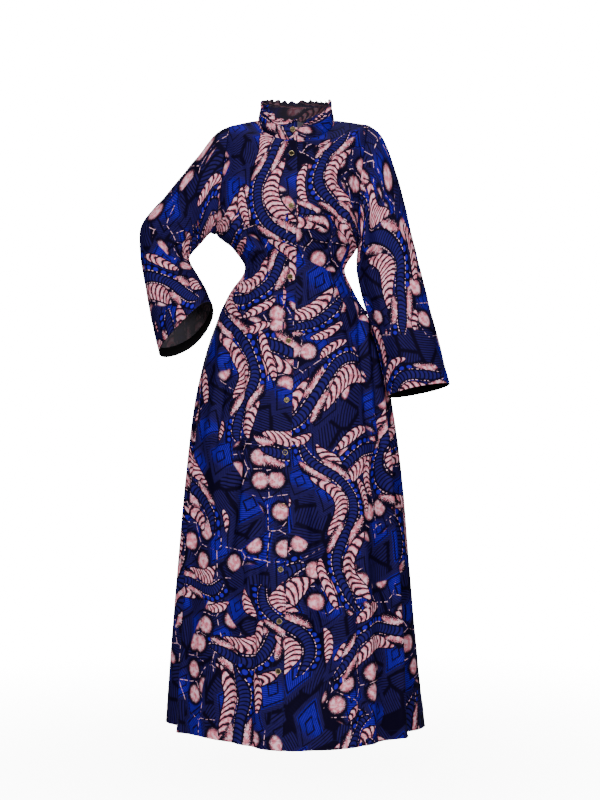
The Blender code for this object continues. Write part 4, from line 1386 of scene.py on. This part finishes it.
def select_by(piece, kind, test):
    """Select, in edit mode, only the faces or edges of a piece that pass a test."""
    bpy.ops.mesh.select_mode(type=kind)
    bpy.ops.mesh.select_all(action="DESELECT")
    mesh = bmesh.from_edit_mesh(piece.data)
    for part in mesh.faces if kind == "FACE" else mesh.edges:
        if test(part):
            part.select_set(True)
    bmesh.update_edit_mesh(piece.data)


def model_stud(radius, sides):
    """One ring stud on the origin, facing +Z: a round cap with a round rim, a sunk well and a small post."""
    rise = radius * STUD_RISE
    sink = radius * STUD_SINK
    bpy.ops.object.select_all(action="DESELECT")
    bpy.ops.mesh.primitive_cylinder_add(
        vertices=sides, radius=radius, depth=rise + sink, location=(0, 0, (rise - sink) / 2)
    )
    stud = bpy.context.object
    bpy.ops.object.transform_apply(location=True, rotation=True, scale=True)
    bpy.ops.object.mode_set(mode="EDIT")
    select_by(stud, "FACE", lambda face: face.normal.z > 0.9)
    for width, depth in (
        (RIM_SHARE, 0.0),
        (WELL_SLOPE, -WELL_DEPTH),
        (WELL_FLOOR, 0.0),
        (POST_SLOPE, POST_RISE),
    ):
        bpy.ops.mesh.inset(thickness=radius * width, depth=radius * depth)

    def on_rim(edge):
        high = all(vertex.co.z > rise * 0.98 for vertex in edge.verts)
        return high and any(face.normal.z < 0.9 for face in edge.link_faces)

    select_by(stud, "EDGE", on_rim)
    bpy.ops.mesh.bevel(offset=radius * RIM_ROUND, segments=4)
    bpy.ops.object.mode_set(mode="OBJECT")
    bpy.ops.object.shade_smooth_by_angle(angle=math.radians(50))
    # The well attribute marks where the brass material paints shade.
    well = stud.data.attributes.new("well", "FLOAT", "POINT")
    for vertex, mark in zip(stud.data.vertices, well.data):
        mark.value = float(vertex.co.xy.length < radius * (1 - RIM_SHARE - WELL_SLOPE * 0.9))
    return stud


def stud_seat(name):
    """Turn and place of a stud's seat in the frame, read from its CAD node."""
    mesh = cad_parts[name].data
    points = np.array([tuple(vertex.co) for vertex in mesh.vertices])
    middle = points.mean(axis=0)
    across, _, axis = np.linalg.svd(points - middle)[2]
    if axis[1] > 0:
        axis = -axis
    seat = middle + axis * ((points - middle) @ axis).min()
    turn = Matrix(np.stack([across, np.cross(axis, across), axis], -1).tolist())
    return Matrix.Translation(seat.tolist()) @ turn.to_4x4()


class DressStuds(bpy.types.Operator):
    """Ring press studs down the opening, one modelled and copied to each seat"""

    bl_idname = "dress.studs"
    bl_label = "Press studs"

    def execute(self, context):
        sizes = context.scene.dress_sizes
        material = brass_material(context.scene.dress_colours.brass)
        stud = model_stud(sizes.stud_radius, sizes.stud_sides)
        for name in sorted(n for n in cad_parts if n.startswith("snap_")):
            mesh = stud.data.copy()
            mesh.name = f"{name}_ring"
            mesh.transform(stud_seat(name))
            place_piece(f"{name}_ring", mesh, material, name)
        bpy.data.objects.remove(stud)
        return {"FINISHED"}


# Stage: the floor under the dress, its fading rim, the studio's light and its bright surround
FLOOR_HEIGHT = -1.52
FLOOR_RADIUS = 3.0
FADE_END = 2.4
FLOOR_SHOWN = 0.5
ROOM_LIGHT = 0.08
SURROUND = 18.0
WHITE = (1, 1, 1, 1)

# Soft lights: place, width and height, and power
LIGHTS = (
    ("key", (-0.9, -3.8, 1.0), (0.9, 1.3), 148),
    ("fill", (1.7, -3.6, 0.2), (0.9, 1.5), 64),
    ("top", (0.2, 0.4, 2.0), (1.6, 1.2), 30),
    ("back", (-0.9, 3.8, 0.9), (1.2, 1.6), 130),
)
LIGHTS_AIM = (0, 0, -0.7)


def make_floor():
    """Round pale floor whose rim fades into the surround."""
    bpy.ops.object.select_all(action="DESELECT")
    bpy.ops.mesh.primitive_circle_add(
        vertices=96, radius=FLOOR_RADIUS, fill_type="NGON", location=(0, 0, FLOOR_HEIGHT)
    )
    floor = bpy.context.object
    floor.name = "floor"
    bpy.ops.object.transform_apply(location=True, rotation=True, scale=True)
    bpy.ops.object.mode_set(mode="EDIT")
    select_by(floor, "FACE", lambda face: True)
    bpy.ops.mesh.inset(thickness=FLOOR_RADIUS - FADE_END)
    bpy.ops.object.mode_set(mode="OBJECT")
    paint = Paint("pale_floor")
    flat = paint.vector("MULTIPLY", paint.add("ShaderNodeTexCoord", output=3), (1, 1, 0))
    fade = paint.ease(paint.vector("LENGTH", flat, output=1), FADE_END, 0.0)
    paint.set(Base_Color=(0.92, 0.92, 0.92, 1), Roughness=0.95, Specular_IOR_Level=0.0)
    paint.set(Alpha=fade * FLOOR_SHOWN)
    floor.data.materials.append(paint.material)


def light_room(scene):
    """White surround that the camera sees bright, while the dress is lit by the soft lights."""
    world = bpy.data.worlds.new("studio")
    world.use_nodes = True
    tree = world.node_tree
    soft = tree.nodes["Background"]
    soft.inputs["Color"].default_value = WHITE
    soft.inputs["Strength"].default_value = ROOM_LIGHT
    bright = node(tree, "ShaderNodeBackground", {}, {"Color": WHITE, "Strength": SURROUND})
    sockets = {0: node(tree, "ShaderNodeLightPath"), 1: Wire(tree, soft.outputs[0]), 2: bright}
    shown = node(tree, "ShaderNodeMixShader", {}, sockets)
    tree.links.new(shown.socket, tree.nodes["World Output"].inputs["Surface"])
    scene.world = world
    for name, place, size, power in LIGHTS:
        data = bpy.data.lights.new(name, "AREA")
        data.shape = "RECTANGLE"
        data.size, data.size_y = size
        data.energy = power
        light = bpy.data.objects.new(name, data)
        light.location = place
        light.rotation_euler = (Vector(LIGHTS_AIM) - Vector(place)).to_track_quat("-Z", "Y").to_euler()
        scene.collection.objects.link(light)


# The photograph's view: level, from the front
CAMERA_PLACE = (0.009, -3.95, -0.67)
CAMERA_LENS = 75.6
CAMERA_SENSOR = 36.0


class DressStage(bpy.types.Operator):
    """Pale floor, soft studio lights and the camera"""

    bl_idname = "dress.stage"
    bl_label = "Stage"

    def execute(self, context):
        make_floor()
        light_room(context.scene)
        data = bpy.data.cameras.new("photo_camera")
        data.lens = CAMERA_LENS
        data.sensor_width = CAMERA_SENSOR
        camera = bpy.data.objects.new("photo_camera", data)
        camera.location = CAMERA_PLACE
        camera.rotation_euler = (math.radians(90), 0, 0)
        context.scene.collection.objects.link(camera)
        context.scene.camera = camera
        return {"FINISHED"}


class DressPanel(bpy.types.Panel):
    bl_label = "Shirt dress"
    bl_idname = "VIEW3D_PT_shirt_dress"
    bl_space_type = "VIEW_3D"
    bl_region_type = "UI"
    bl_category = "Dress"

    def draw(self, context):
        for group in (context.scene.dress_sizes, context.scene.dress_colours):
            for name in group.__annotations__:
                self.layout.prop(group, name)
        for step in STEPS:
            self.layout.operator(step.bl_idname)


STEPS = (DressBack, DressFronts, DressSleeves, DressBands, DressCollar, DressStuds, DressStage)
CLASSES = (DressSizes, DressColours, *STEPS, DressPanel)


def register():
    for kind in CLASSES:
        bpy.utils.register_class(kind)
    bpy.types.Scene.dress_sizes = PointerProperty(type=DressSizes)
    bpy.types.Scene.dress_colours = PointerProperty(type=DressColours)


def unregister():
    del bpy.types.Scene.dress_colours
    del bpy.types.Scene.dress_sizes
    for kind in reversed(CLASSES):
        bpy.utils.unregister_class(kind)


def main():
    register()
    bpy.ops.dress.back()
    bpy.ops.dress.fronts()
    bpy.ops.dress.sleeves()
    bpy.ops.dress.bands()
    bpy.ops.dress.collar()
    bpy.ops.dress.studs()
    bpy.ops.dress.stage()


if __name__ == "__main__":
    main()
